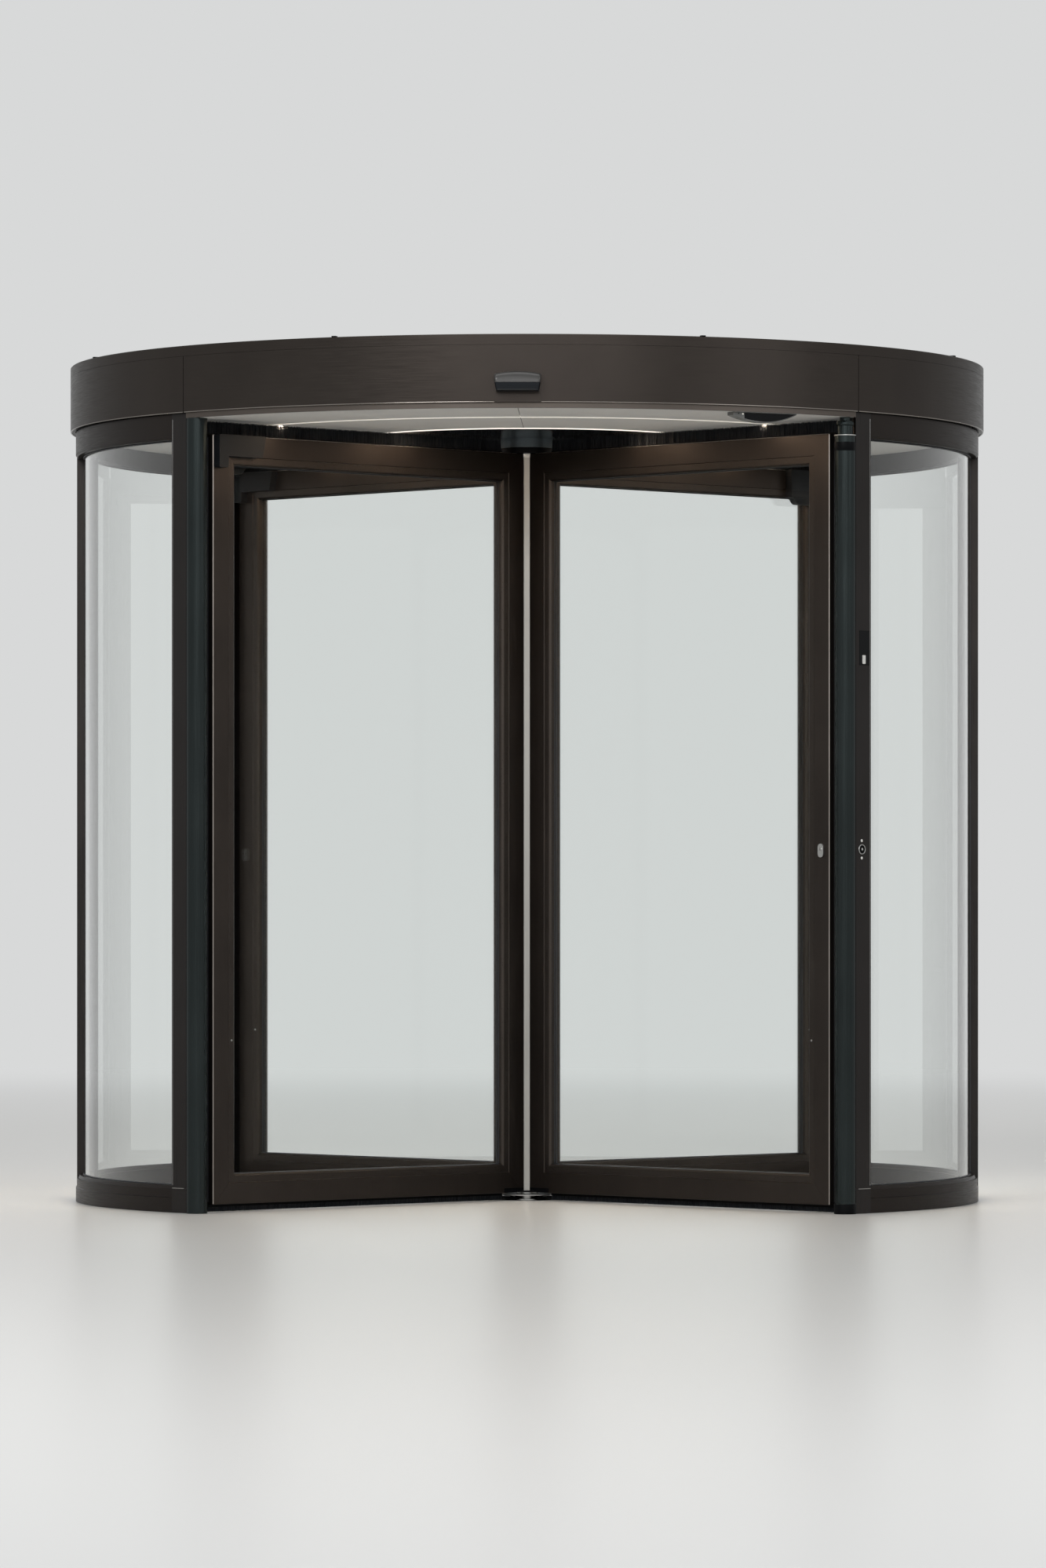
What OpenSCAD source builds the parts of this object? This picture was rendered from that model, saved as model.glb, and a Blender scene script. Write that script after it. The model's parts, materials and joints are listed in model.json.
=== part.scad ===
// Four-leaf revolving door: a drum of curved glass walls under a slim canopy, with a rotor of
// four glazed leaves. Seen from the front (-Y), the leaves rest in an X. The origin is on the
// floor at the axis of the rotor.

/* [Overall] */
// Outer diameter of the canopy
canopy_d = 2640; // [2300:10:3300]
// Clear height from the floor to the ceiling
clear_h = 2200; // [1800:10:2700]
// Height of the canopy above the ceiling
canopy_h = 200; // [160:5:320]

/* [Drum walls] */
// Angle from the middle of a doorway to its post
doorway_deg = 45.2; // [40:0.1:47]
// Distance from the canopy's edge in to the walls
wall_setback = 15; // [8:1:40]
// Radial depth of posts and rails
wall_depth = 55; // [44:1:80]
// Thickness of the curved glass
wall_glass_t = 12; // [8:1:16]
// Distance from the walls' outer face in to the curved glass
wall_glass_inset = 25; // [16:1:32]
// Height of the base rail
base_h = 75; // [60:1:120]
// Height of the base rail's skirt
skirt_h = 40; // [20:1:56]
// Height of the head rail below the ceiling
head_h = 56; // [36:1:110]
// How far the glass runs into a rail
glass_bite = 15; // [8:1:24]
// Width of the joint profile in the middle of a wall
joint_w = 28; // [22:1:60]
// How far the glass runs into an upright
side_bite = 8; // [5:1:9]

/* [Posts and finger guards] */
// Width of a post along the wall
post_w = 60; // [40:1:110]
// Diameter of the round finger guard
guard_d = 58; // [40:1:64]
// How far the finger guard's centre stands out from the post's edge
guard_offset = 25; // [20:1:40]
// Distance from the canopy's edge in to the finger guard's centre
guard_setback = 32; // [28:1:40]
// Height of the finger guard's foot collar
guard_foot_h = 30; // [10:1:60]
// Distance from the ceiling down to the turned finger guard's bright ring
guard_ring_drop = 50; // [44:1:90]
// Diameter of the turned finger guard's neck
guard_neck_d = 43; // [30:1:46]

/* [Canopy] */
// Thickness of the fascia sheet
skin_t = 3; // [2:0.5:5]
// Height of the trim ring along the top edge
top_trim_h = 29; // [18:1:60]
// Height of the trim strip below the fascia
low_trim_h = 17; // [14:0.5:19]
// Radial width of the ring beam
beam_w = 87; // [60:1:140]
// Wall thickness of the ring beam
beam_t = 6; // [3:1:10]
// Width of the cross beams
cross_w = 80; // [50:5:120]
// Thickness of the roof panels
roof_t = 12; // [8:1:16]
// Width of the seams between panels
seam = 2; // [1:0.5:4]

/* [Ceiling] */
// Thickness of the ceiling panels
ceiling_t = 20; // [18:1:30]
// Radius of the outer light ring
light_outer_r = 960; // [800:5:1060]
// Radius of the inner light ring
light_inner_r = 508; // [300:5:700]
// Width of a light ring
light_w = 12; // [6:1:24]
// Dark gap between the ceiling's edge and the trim strip
shadow_gap = 5; // [3:1:12]

/* [Leaves] */
// Thickness of a leaf
leaf_t = 50; // [40:1:60]
// Width of the frame bars, without the glazing bead
bar_w = 60; // [45:1:90]
// Width of the glazing bead
bead_w = 23; // [14:1:34]
// Thickness of the leaf glass
leaf_glass_t = 10; // [6:1:12]
// Distance from the floor up to the leaf frame
leaf_lift = 22; // [14:1:40]
// Distance from the ceiling down to the leaf frame
leaf_drop = 42; // [30:1:70]
// Gap between a leaf frame's edge and the wall's inner face
leaf_wall_gap = 18; // [14:1:30]
// Width of the slot that holds a brush or seal
seal_slot_w = 12; // [8:1:16]
// Depth of the slot that holds a brush or seal
seal_slot_d = 8; // [5:1:12]
// Gap between the tips of brushes and seals and the wall's inner face
tip_gap = 6; // [5:1:12]

/* [Centre] */
// Distance from the axis to the narrow faces of the centre column
column_face = 44; // [38:1:60]
// Diameter of the hub under the ceiling
hub_d = 153; // [130:1:220]
// Height of the black collar under the hub
collar_h = 17; // [8:1:24]
// Diameter of the rotor shaft in the canopy
shaft_d = 60; // [40:2:80]
// Diameter of the bearing covers on the floor
cover_d = 154; // [140:2:180]
// Height of the bearing covers
cover_h = 10; // [8:0.5:12]
// Width of the opening between the bearing covers
cover_gap = 60; // [30:1:80]
// Diameter of the pivot block
pivot_d = 64; // [50:1:80]
// Diameter of the pivot pin
pin_d = 30; // [20:1:40]
// Diameter of the thin plate that turns with the pivot block
rim_plate_d = 200; // [160:5:240]
// Diameter of the disc under the centre column
foot_disc_d = 134; // [110:1:160]
// Height of the disc under the centre column
foot_disc_h = 4.5; // [3:0.5:12]
// Distance from the axis to the outer end of the black shoes under the leaves' inner corners
shoe_r = 118; // [90:1:160]
// Height of the shoes
shoe_h = 14; // [10:1:24]

/* [Sensors and controls] */
// Width of the motion sensor
motion_w = 128; // [90:1:180]
// Height of the motion sensor
motion_h = 54; // [40:1:80]
// Depth of the motion sensor in front of the fascia
motion_depth = 44; // [30:1:70]
// Rise of the motion sensor's arched top
motion_arch = 7; // [2:1:14]
// How far the motion sensor's sides draw in towards its foot
motion_taper = 6; // [0:1:12]
// Height of the motion sensor's foot above the fascia's lower edge
motion_lift = 27; // [10:1:60]
// Width of the presence sensor
presence_w = 175; // [120:1:220]
// Depth of the presence sensor below the ceiling
presence_h = 27; // [16:1:34]
// Width of the presence sensor's rim
presence_rim = 7; // [4:0.5:10]
// Length of the sensor housing on a leaf
leaf_sensor_l = 173; // [120:1:260]
// Height of the sensor housing's long leg
leaf_sensor_h = 60; // [40:1:80]
// Height of the sensor housing's outer leg
leaf_sensor_leg_h = 92; // [70:1:140]
// Width of the sensor housing's outer leg
leaf_sensor_leg_w = 34; // [20:1:50]
// Depth of the sensor housing on a leaf
leaf_sensor_t = 25; // [16:1:40]
// Height of the corner cover on the other face of the two leaves that have one
corner_cover_h = 104; // [90:1:140]
// Height of the push button and the lock above the floor
control_z = 1007; // [900:1:1200]
// Diameter of the push button's ring
button_d = 28; // [20:1:36]
// Height of the control plate's middle above the push button
plate_rise = 557; // [400:1:600]
// Height of the control plate
plate_h = 95; // [60:1:140]
// Width of the control plate
plate_w = 40; // [20:1:44]

/* [Clearances] */
// Gap between pieces that are fastened together
fit = 0.3; // [0.1:0.05:0.5]
// Gap round moving pieces
run = 5; // [5:0.5:10]

/* [Hidden] */
$fn = 180;

bronze = "#4a443e";
black = "#1c1d20";
silver = "#b9b7b2";
steel = "#a9aaab";
pale = "#d9d6d0";
clear = [0.75, 0.85, 0.85, 0.35];

front = -90;
right = 0;
back = 90;
left = 180;
leaf_az = [-135, -45, 45, 135];

total_h = clear_h + canopy_h;
canopy_r = canopy_d / 2;
wall_out = canopy_r - wall_setback;
wall_in = wall_out - wall_depth;
wall_half = 90 - doorway_deg;
glass_out = wall_out - wall_glass_inset;
glass_in = glass_out - wall_glass_t;
beam_z = clear_h + ceiling_t + fit;
beam_top = total_h - top_trim_h;
beam_out = canopy_r - skin_t - fit;
beam_in = beam_out - beam_w;
skin_z = clear_h + low_trim_h;
ceiling_r = wall_out - 4;
guard_r = canopy_r - guard_setback;
guard_az = wall_half + asin(guard_offset / guard_r);
column_flat = leaf_t / 2 + 0.2;
column_cut = column_face * sqrt(2) - column_flat;
leaf_in = column_cut + fit;
leaf_out = wall_in - leaf_wall_gap;
leaf_bottom = leaf_lift;
leaf_top = clear_h - leaf_drop;
leaf_l = leaf_out - leaf_in;
leaf_h = leaf_top - leaf_bottom;
rim_plate_z = cover_h + run;
rim_plate_t = 2;
foot_z = rim_plate_z + rim_plate_t + 6;
hub_top = clear_h + ceiling_t - 6;
shaft_top = beam_top - 10;
rail_step = 14;
rail_step_z = skin_z - 4;
post_inner = wall_half - asin(post_w / wall_in);

// Angle under which a distance along the wall is seen from the axis
function spread(distance, radius) = asin(distance / radius);

// Sweeps a profile round the axis between two azimuths
module sweep(az0, az1) {
  rotate([0, 0, az0]) rotate_extrude(angle = az1 - az0) children();
}

// Half of a wall, measured from its middle out to its post, swept on one side of the middle
module half_wall(middle, side, from, to) {
  if (side > 0) sweep(middle + from, middle + to) children();
  else sweep(middle - to, middle - from) children();
}

// A flat wedge of the ring between two radii
module ring_piece(r0, r1, az0, az1) {
  reach = 2 * r1;
  difference() {
    intersection() {
      circle(r = r1);
      polygon([[0, 0], [reach * cos(az0), reach * sin(az0)], [reach * cos(az1), reach * sin(az1)]]);
    }
    circle(r = r0);
  }
}

module base_profile() {
  pocket = base_h - glass_bite;
  polygon([
    [wall_in, 0], [wall_out, 0], [wall_out, skirt_h], [wall_out - 3, skirt_h + 2],
    [wall_out - 3, base_h - 9], [wall_out - 8, base_h - 9], [wall_out - 12, base_h],
    [glass_out + fit, base_h], [glass_out + fit, pocket],
    [glass_in - fit, pocket], [glass_in - fit, base_h],
    [wall_in + 12, base_h], [wall_in + 8, base_h - 9], [wall_in, base_h - 9]
  ]);
}

module head_profile() {
  low = clear_h - head_h;
  pocket = low + glass_bite;
  top = clear_h + ceiling_t;
  polygon([
    [wall_in, low + 6], [wall_in + 6, low], [glass_in - fit, low], [glass_in - fit, pocket],
    [glass_out + fit, pocket], [glass_out + fit, low], [wall_out - 6, low], [wall_out, low + 6],
    [wall_out, rail_step_z], [wall_out - rail_step, rail_step_z], [wall_out - rail_step, top],
    [wall_in, top]
  ]);
}

rail_from = spread(joint_w / 2 + fit, wall_in);
rail_to = wall_half - spread(post_w + fit, wall_in);
glass_from = spread(joint_w / 2 - side_bite + fit, glass_in);
glass_to = wall_half - spread(post_w - side_bite + fit, glass_in);

module rails(middle) {
  for (side = [-1, 1]) half_wall(middle, side, rail_from, rail_to) children();
}

module wall_glass(middle, side) {
  low = base_h - glass_bite + fit;
  high = clear_h - head_h + glass_bite - fit;
  half_wall(middle, side, glass_from, glass_to)
    translate([glass_in, low]) square([wall_glass_t, high - low]);
}

// Upright in the middle of a wall, where the facade meets the drum
module facade_joint(middle) {
  rotate([0, 0, middle]) difference() {
    linear_extrude(clear_h + ceiling_t) difference() {
      translate([wall_in, -joint_w / 2]) square([wall_depth, joint_w]);
      for (y = [-joint_w / 2 - 1, joint_w / 2 - side_bite])
        translate([glass_in - fit, y]) square([wall_glass_t + 2 * fit, side_bite + 1]);
    }
    translate([wall_out - rail_step, -joint_w, rail_step_z]) cube([2 * rail_step, 2 * joint_w, canopy_h]);
  }
}

guard_collar = 1.5;
guard_ring_z = clear_h - guard_ring_drop;

// Post at the edge of a doorway, scooped out for its finger guard
module post(middle, side) {
  groove_z = base_h - 8;
  rotate([0, 0, middle]) mirror([0, side < 0 ? 1 : 0, 0]) difference() {
    linear_extrude(clear_h + ceiling_t) difference() {
      ring_piece(wall_in, wall_out, post_inner, wall_half);
      rotate([0, 0, guard_az]) translate([guard_r, 0]) circle(d = guard_d + 2 * fit);
      ring_piece(glass_in - fit, glass_out + fit, post_inner - 1, glass_to + 0.03);
    }
    sweep(post_inner - 1, wall_half + 1) translate([wall_out - 1.5, groove_z]) square([4, 2]);
    if (side < 0) rotate([0, 0, guard_az]) translate([guard_r, 0, 0]) {
      grown = guard_d / 2 + guard_collar + fit;
      translate([0, 0, -1]) cylinder(r = grown, h = guard_foot_h + 1 + fit);
      translate([0, 0, guard_ring_z - 1 - fit]) cylinder(r = grown, h = 2 + 2 * fit);
    }
  }
}

module guard_plain(middle) {
  rotate([0, 0, middle + guard_az]) translate([guard_r, 0, 0]) cylinder(d = guard_d, h = clear_h - fit);
}

// Finger guard with a foot collar, a groove, a bright ring, a neck and a turned bulge
module guard_turned(middle) {
  r = guard_d / 2;
  neck = guard_neck_d / 2;
  ring = guard_ring_z;
  rotate([0, 0, middle - guard_az]) translate([guard_r, 0, 0]) rotate_extrude() polygon([
    [0, 0], [r + guard_collar, 0], [r + guard_collar, guard_foot_h - 2], [r, guard_foot_h],
    [r, ring - 31], [r - 2.5, ring - 31], [r - 2.5, ring - 25], [r - 0.5, ring - 25],
    [r - 0.5, ring - 1], [r + guard_collar - 0.5, ring - 1], [r + guard_collar - 0.5, ring + 1],
    [neck, ring + 1], [neck, ring + 26], [neck + 1.5, ring + 27], [neck + 3, ring + 30],
    [neck + 3, ring + 35], [neck + 1, ring + 39], [neck - 7, ring + 41], [neck - 7, clear_h - fit],
    [0, clear_h - fit]
  ]);
}

module fascia(middle) {
  gap = spread(seam / 2, canopy_r);
  lip = wall_out + 1;
  sweep(middle - 45 + gap, middle + 45 - gap) polygon([
    [lip, skin_z], [canopy_r - 1, skin_z], [canopy_r, skin_z + 1], [canopy_r, beam_top - fit],
    [canopy_r - skin_t, beam_top - fit], [canopy_r - skin_t, skin_z + skin_t], [lip, skin_z + skin_t]
  ]);
}

module fascia_top_trim() {
  inner = canopy_r - 20;
  color(bronze) rotate_extrude() polygon([
    [inner, beam_top + fit], [canopy_r, beam_top + fit], [canopy_r, total_h - 2],
    [canopy_r - 2, total_h], [inner, total_h]
  ]);
}

// Small clips on the canopy's top edge, two over every fascia sheet
module edge_clips() {
  width = 12;
  rise = 3;
  top = total_h + fit;
  color(black) for (az = [22.5 : 45 : 337.5]) rotate([0, 0, az]) translate([0, -width / 2, top])
    translate([canopy_r - 16, 0, 0]) cube([14, width, rise]);
}

module fascia_bottom_trim() {
  width = 6;
  reach = doorway_deg - 0.3;
  color(bronze) for (middle = [front, back]) sweep(middle - reach, middle + reach)
    translate([ceiling_r + shadow_gap, clear_h]) square([width, low_trim_h - fit]);
}

module ring_beam() {
  color(steel) rotate_extrude() polygon([
    [beam_in, beam_z], [beam_out, beam_z], [beam_out, beam_top], [beam_in, beam_top],
    [beam_in, beam_top - beam_t], [beam_out - beam_t, beam_top - beam_t],
    [beam_out - beam_t, beam_z + beam_t], [beam_in, beam_z + beam_t]
  ]);
}

// Two box beams from wall to wall, which carry the rotor's upper bearing
cross_y = shaft_d / 2 + 40 + cross_w / 2;
cross_z = beam_z + beam_t + fit;
cross_h = beam_top - beam_t - fit - 8 - cross_z;

module cross_beams() {
  half_l = sqrt(pow(beam_out - beam_t - 2, 2) - pow(cross_y + cross_w / 2, 2));
  color(steel) for (side = [-1, 1])
    translate([-half_l, side * cross_y, cross_z]) rotate([90, 0, 90]) linear_extrude(2 * half_l)
      difference() {
        translate([-cross_w / 2, 0]) square([cross_w, cross_h]);
        translate([-cross_w / 2 + beam_t, beam_t])
          square([cross_w - 2 * beam_t, cross_h - 2 * beam_t]);
      }
}

module top_bearing() {
  plate_z = cross_z + cross_h + fit;
  plate_y = cross_y + cross_w / 2;
  housing_z = clear_h + ceiling_t + fit;
  color(steel) difference() {
    union() {
      translate([-110, -plate_y, plate_z]) cube([220, 2 * plate_y, 8]);
      translate([0, 0, housing_z]) cylinder(r = shaft_d / 2 + 28, h = plate_z + 1 - housing_z);
    }
    translate([0, 0, housing_z - 1]) cylinder(r = shaft_d / 2 + fit, h = canopy_h);
  }
}

module roof_panels() {
  half = canopy_r - 20 - fit;
  color(bronze) for (side = [0, 1]) mirror([side, 0, 0])
    translate([0, 0, beam_top + fit]) linear_extrude(roof_t) intersection() {
      circle(r = half);
      translate([seam / 2, -half]) square([half, 2 * half]);
    }
}

module ceiling_outer() {
  inner = light_outer_r + light_w / 2 + fit;
  color(pale) for (side = [0, 1]) mirror([side, 0, 0])
    translate([0, 0, clear_h]) linear_extrude(ceiling_t) difference() {
      intersection() {
        union() {
          circle(r = wall_in - 1);
          for (middle = [front, back])
            ring_piece(inner, ceiling_r, middle - doorway_deg + 0.2, middle + doorway_deg - 0.2);
        }
        translate([seam / 2, -canopy_r]) square([canopy_r, canopy_d]);
      }
      circle(r = inner);
    }
}

module ring_panel(r_in, r_out) {
  translate([0, 0, clear_h]) linear_extrude(ceiling_t) difference() {
    circle(r = r_out);
    circle(r = r_in);
  }
}

module light_ring(radius) {
  color("white") rotate_extrude() polygon([
    [radius - light_w / 2, clear_h - 0.5], [radius - light_w / 2 + 1.5, clear_h - 2],
    [radius + light_w / 2 - 1.5, clear_h - 2], [radius + light_w / 2, clear_h - 0.5],
    [radius + light_w / 2, clear_h + ceiling_t], [radius - light_w / 2, clear_h + ceiling_t]
  ]);
}

// Front outline of the motion sensor: an arched top, and sides that draw in towards the foot
module motion_outline() {
  half = motion_w / 2;
  arch_r = (half * half + motion_arch * motion_arch) / (2 * motion_arch);
  intersection() {
    translate([0, motion_h - arch_r]) circle(r = arch_r);
    polygon([
      [motion_taper - half, 0], [half - motion_taper, 0], [half, motion_h * 0.55],
      [half - 1, motion_h], [1 - half, motion_h], [-half, motion_h * 0.55]
    ]);
  }
}

// Motion sensor on the fascia above a doorway: a hood over a dark window, on a flat cover that
// reaches the fascia's lower edge
module motion_sensor(middle) {
  cover_t = 2;
  hood_z = motion_h * 0.47;
  rotate([0, 0, middle]) translate([canopy_r + fit, 0, skin_z]) difference() {
    union() {
      intersection() {
        translate([-8, motion_w / 2, motion_lift]) rotate([90, 0, 0]) linear_extrude(motion_w) polygon([
          [0, 0], [motion_depth + 2, 0], [motion_depth + 2, 5], [motion_depth + 4, 6],
          [motion_depth + 4, hood_z - 1], [motion_depth + 8, hood_z], [motion_depth + 6, hood_z + 8],
          [motion_depth - 2, motion_h - 7], [motion_depth - 14, motion_h - 1],
          [motion_depth - 24, motion_h], [0, motion_h]
        ]);
        translate([-8, 0, motion_lift]) rotate([90, 0, 90]) linear_extrude(motion_depth + 20)
          motion_outline();
      }
      translate([-8, -motion_w / 2 + 1, 0.5]) cube([8 + cover_t, motion_w - 2, motion_lift + 1]);
    }
    translate([-canopy_r - fit, 0, -1]) cylinder(r = canopy_r + fit, h = canopy_h);
  }
}

// Presence sensor under the ceiling's edge, clear of the leaves' path: a lens shape with a rim
// round its window
presence_az = 32;
module presence_lens(rim) {
  half = presence_w / 2;
  arc_r = (half * half + presence_h * presence_h) / (2 * presence_h);
  intersection() {
    translate([0, arc_r - presence_h]) circle(r = arc_r - rim);
    translate([-half, -presence_h]) square([2 * half, presence_h - rim / 2]);
  }
}

module presence_sensor(middle) {
  window_d = 3;
  outer_r = ceiling_r - 6;
  depth = outer_r - wall_in - 2;
  rotate([0, 0, middle + presence_az]) translate([outer_r - depth, 0, clear_h - fit])
    rotate([90, 0, 90]) difference() {
      linear_extrude(depth) presence_lens(0);
      translate([0, 0, depth - window_d]) linear_extrude(window_d + 1) presence_lens(presence_rim);
    }
}

plate_t = 2;
plate_at = 0.58;
plate_z = control_z + plate_rise;

// Places children on the right front post's outer face, a part of its width in from its edge
module on_post(part, z) {
  rotate([0, 0, front + doorway_deg + spread(post_w * part, wall_out)]) translate([wall_out, 0, z])
    children();
}

// Pocket in the right front post for the control plate, with a dark gap round it
module control_pocket() {
  gap = 0.8;
  on_post(plate_at, plate_z) translate([-plate_t - fit, -plate_w / 2 - gap, -plate_h / 2 - gap])
    cube([plate_t + fit + 5, plate_w + 2 * gap, plate_h + 2 * gap]);
}

// Push button, control plate and key switch on the right front post
module post_controls() {
  switch_w = 16;
  switch_h = 24;
  switch_drop = 32;
  color(silver) {
    on_post(0.4, control_z) translate([fit, 0, 0]) rotate([0, 90, 0]) union() {
      difference() {
        cylinder(d = button_d, h = 3);
        translate([0, 0, 1]) cylinder(d = button_d - 7, h = 3);
      }
      cylinder(d = button_d / 2, h = 3.5);
    }
    on_post(plate_at, plate_z) {
      translate([-plate_t, -plate_w / 2, -plate_h / 2]) cube([plate_t, plate_w, plate_h]);
      translate([fit, 2 - switch_w / 2, -switch_drop - switch_h / 2]) cube([2, switch_w, switch_h]);
    }
  }
}

// Fixed part of the floor bearing: a seat plate and a block with a bore for the pivot pin
seat_d = cover_d - 34;
seat_plate_t = 3;
block_h = cover_h + 2;
module floor_bearing() {
  color(steel) difference() {
    union() {
      cylinder(d = seat_d, h = seat_plate_t);
      cylinder(d = pivot_d, h = block_h);
    }
    translate([0, 0, seat_plate_t]) cylinder(r = pin_d / 2 + fit, h = block_h);
  }
}

// Two half shells over the bearing's seat plate, open to the front and the back
module bearing_covers() {
  color(black) difference() {
    rotate_extrude() polygon([
      [pivot_d / 2 + run, seat_plate_t + fit], [seat_d / 2 + fit, seat_plate_t + fit],
      [seat_d / 2 + fit, 0], [cover_d / 2, 0], [cover_d / 2, cover_h - 2],
      [cover_d / 2 - 2, cover_h], [pivot_d / 2 + run, cover_h]
    ]);
    translate([-cover_gap / 2, -cover_d, -1]) cube([cover_gap, 2 * cover_d, 2 * cover_h]);
  }
}

// Pin, block and thin plate that turn with the rotor on the floor bearing
module pivot_block() {
  low = block_h + fit;
  color(steel) union() {
    translate([0, 0, seat_plate_t + fit]) cylinder(d = pin_d, h = block_h);
    translate([0, 0, low]) cylinder(d = pivot_d, h = foot_z - fit - low);
    translate([0, 0, rim_plate_z]) cylinder(d = rim_plate_d, h = rim_plate_t);
  }
}

// Disc that carries the centre column and the shoes under the leaves
module column_foot() {
  r = foot_disc_d / 2;
  color(black) rotate_extrude() polygon([
    [0, foot_z], [r - 1, foot_z], [r, foot_z + 1], [r, foot_z + foot_disc_h - 1],
    [r - 1, foot_z + foot_disc_h], [0, foot_z + foot_disc_h]
  ]);
}

module centre_column() {
  low = foot_z + foot_disc_h + fit;
  a = column_face;
  b = column_cut * sqrt(2) - column_face;
  color(silver) translate([0, 0, low]) linear_extrude(leaf_top - low) polygon([
    [a, -b], [a, b], [b, a], [-b, a], [-a, b], [-a, -b], [-b, -a], [b, -a]
  ]);
}

module hub_collar() {
  color(black) translate([0, 0, leaf_top + fit]) cylinder(d = hub_d, h = collar_h - fit);
}

module hub() {
  color(bronze) translate([0, 0, leaf_top + collar_h + fit]) union() {
    cylinder(d = hub_d, h = hub_top - leaf_top - collar_h - fit);
    cylinder(d = shaft_d, h = shaft_top - leaf_top - collar_h - fit);
  }
}

// One bar of a mitred frame: its outer edge lies on the X axis, its width goes up
module mitred_bar(length, width, depth) {
  intersection() {
    rotate([90, 0, 90]) linear_extrude(length) children();
    translate([0, depth, 0]) rotate([90, 0, 0]) linear_extrude(2 * depth) polygon([
      [fit / 2, 0], [length - fit / 2, 0],
      [length - width - fit / 2, width], [width + fit / 2, width]
    ]);
  }
}

// Four mitred bars round a rectangle that starts at the origin in the XZ plane
module mitred_frame(length, height, width, depth) {
  mitred_bar(length, width, depth) children();
  translate([length, 0, 0]) rotate([0, -90, 0]) mitred_bar(height, width, depth) children();
  translate([length, 0, height]) rotate([0, 180, 0]) mitred_bar(length, width, depth) children();
  translate([0, 0, height]) rotate([0, 90, 0]) mitred_bar(height, width, depth) children();
}

module bar_section() {
  t = leaf_t / 2;
  edge = 1.5;
  difference() {
    polygon([
      [-t + edge, 0], [t - edge, 0], [t, edge], [t, bar_w - edge], [t - edge, bar_w],
      [-t + edge, bar_w], [-t, bar_w - edge], [-t, edge]
    ]);
    translate([-seal_slot_w / 2, -1]) square([seal_slot_w, seal_slot_d + 1]);
  }
}

module bead_section() {
  low = leaf_glass_t / 2 + fit;
  high = leaf_t / 2 - 1.5;
  polygon([
    [low, fit], [high, fit], [high, bead_w - 5], [high - 5, bead_w], [low + 2, bead_w],
    [low, bead_w - 2]
  ]);
}

// Mitred frame, notched at its inner foot for the shoe
module leaf_frame(index) {
  color(bronze) difference() {
    rotate([0, 0, leaf_az[index]]) translate([leaf_in, 0, leaf_bottom])
      mitred_frame(leaf_l, leaf_h, bar_w, leaf_t) bar_section();
    cylinder(r = shoe_r + fit, h = leaf_bottom + shoe_h + fit);
  }
}

// Moulded shoes in the notches of the leaf frames, which rest on the disc under the column
module leaf_shoes() {
  color(black) difference() {
    intersection() {
      for (az = leaf_az) rotate([0, 0, az]) translate([leaf_in, 0, leaf_bottom])
        rotate([90, 0, 90]) linear_extrude(shoe_r) bar_section();
      cylinder(r = shoe_r, h = leaf_bottom + shoe_h);
    }
    cylinder(r = foot_disc_d / 2 + fit, h = foot_z + foot_disc_h + fit);
  }
}

module leaf_glass(index) {
  edge = bar_w + 6;
  color(clear) rotate([0, 0, leaf_az[index]])
    translate([leaf_in + edge, -leaf_glass_t / 2, leaf_bottom + edge])
      cube([leaf_l - 2 * edge, leaf_glass_t, leaf_h - 2 * edge]);
}

module glazing_beads() {
  color(bronze) for (az = leaf_az, face = [0, 1]) rotate([0, 0, az])
    mirror([0, face, 0]) translate([leaf_in + bar_w, 0, leaf_bottom + bar_w])
      mitred_frame(leaf_l - 2 * bar_w, leaf_h - 2 * bar_w, bead_w, leaf_t) bead_section();
}

seal_t = seal_slot_w - 2 * fit;
seal_tip = wall_in - tip_gap;

// They start beside the hub, so that it is seen whole between two leaves
module top_brushes() {
  z0 = leaf_top - seal_slot_d + fit;
  start = hub_d / 2 * sqrt(2) + seal_t / 2 + fit;
  color(black) for (az = leaf_az) rotate([0, 0, az])
    translate([start, -seal_t / 2, z0]) cube([seal_tip - start, seal_t, clear_h - run - z0]);
}

module bottom_brushes() {
  start = rim_plate_d / 2 + run;
  low = 3;
  color(black) for (az = leaf_az) rotate([0, 0, az]) translate([start, -seal_t / 2, low])
    cube([seal_tip - start, seal_t, leaf_bottom + seal_slot_d - fit - low]);
}

module outer_seals() {
  s0 = leaf_out - seal_slot_d + fit;
  color(black) for (az = leaf_az) rotate([0, 0, az])
    translate([s0, -seal_t / 2, leaf_bottom + seal_slot_d])
      cube([seal_tip - s0, seal_t, leaf_h - 2 * seal_slot_d]);
}

// Outline of a corner cover, from its outer end inwards: its foot rises in an S to the rail
module corner_outline() {
  low = bar_w + bead_w;
  drop = corner_cover_h - low;
  half = drop * 0.9;
  bend = (half * half + drop * drop / 4) / drop;
  step = leaf_sensor_l - half;
  union() {
    square([leaf_sensor_l, low]);
    square([step - half, corner_cover_h]);
    intersection() {
      translate([step - half, corner_cover_h - bend]) circle(r = bend);
      translate([step - half - 1, 0]) square([half + 1, corner_cover_h]);
    }
    difference() {
      translate([step, low - 1]) square([half, drop / 2 + 1]);
      translate([leaf_sensor_l, low + bend]) circle(r = bend);
    }
  }
}

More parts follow.
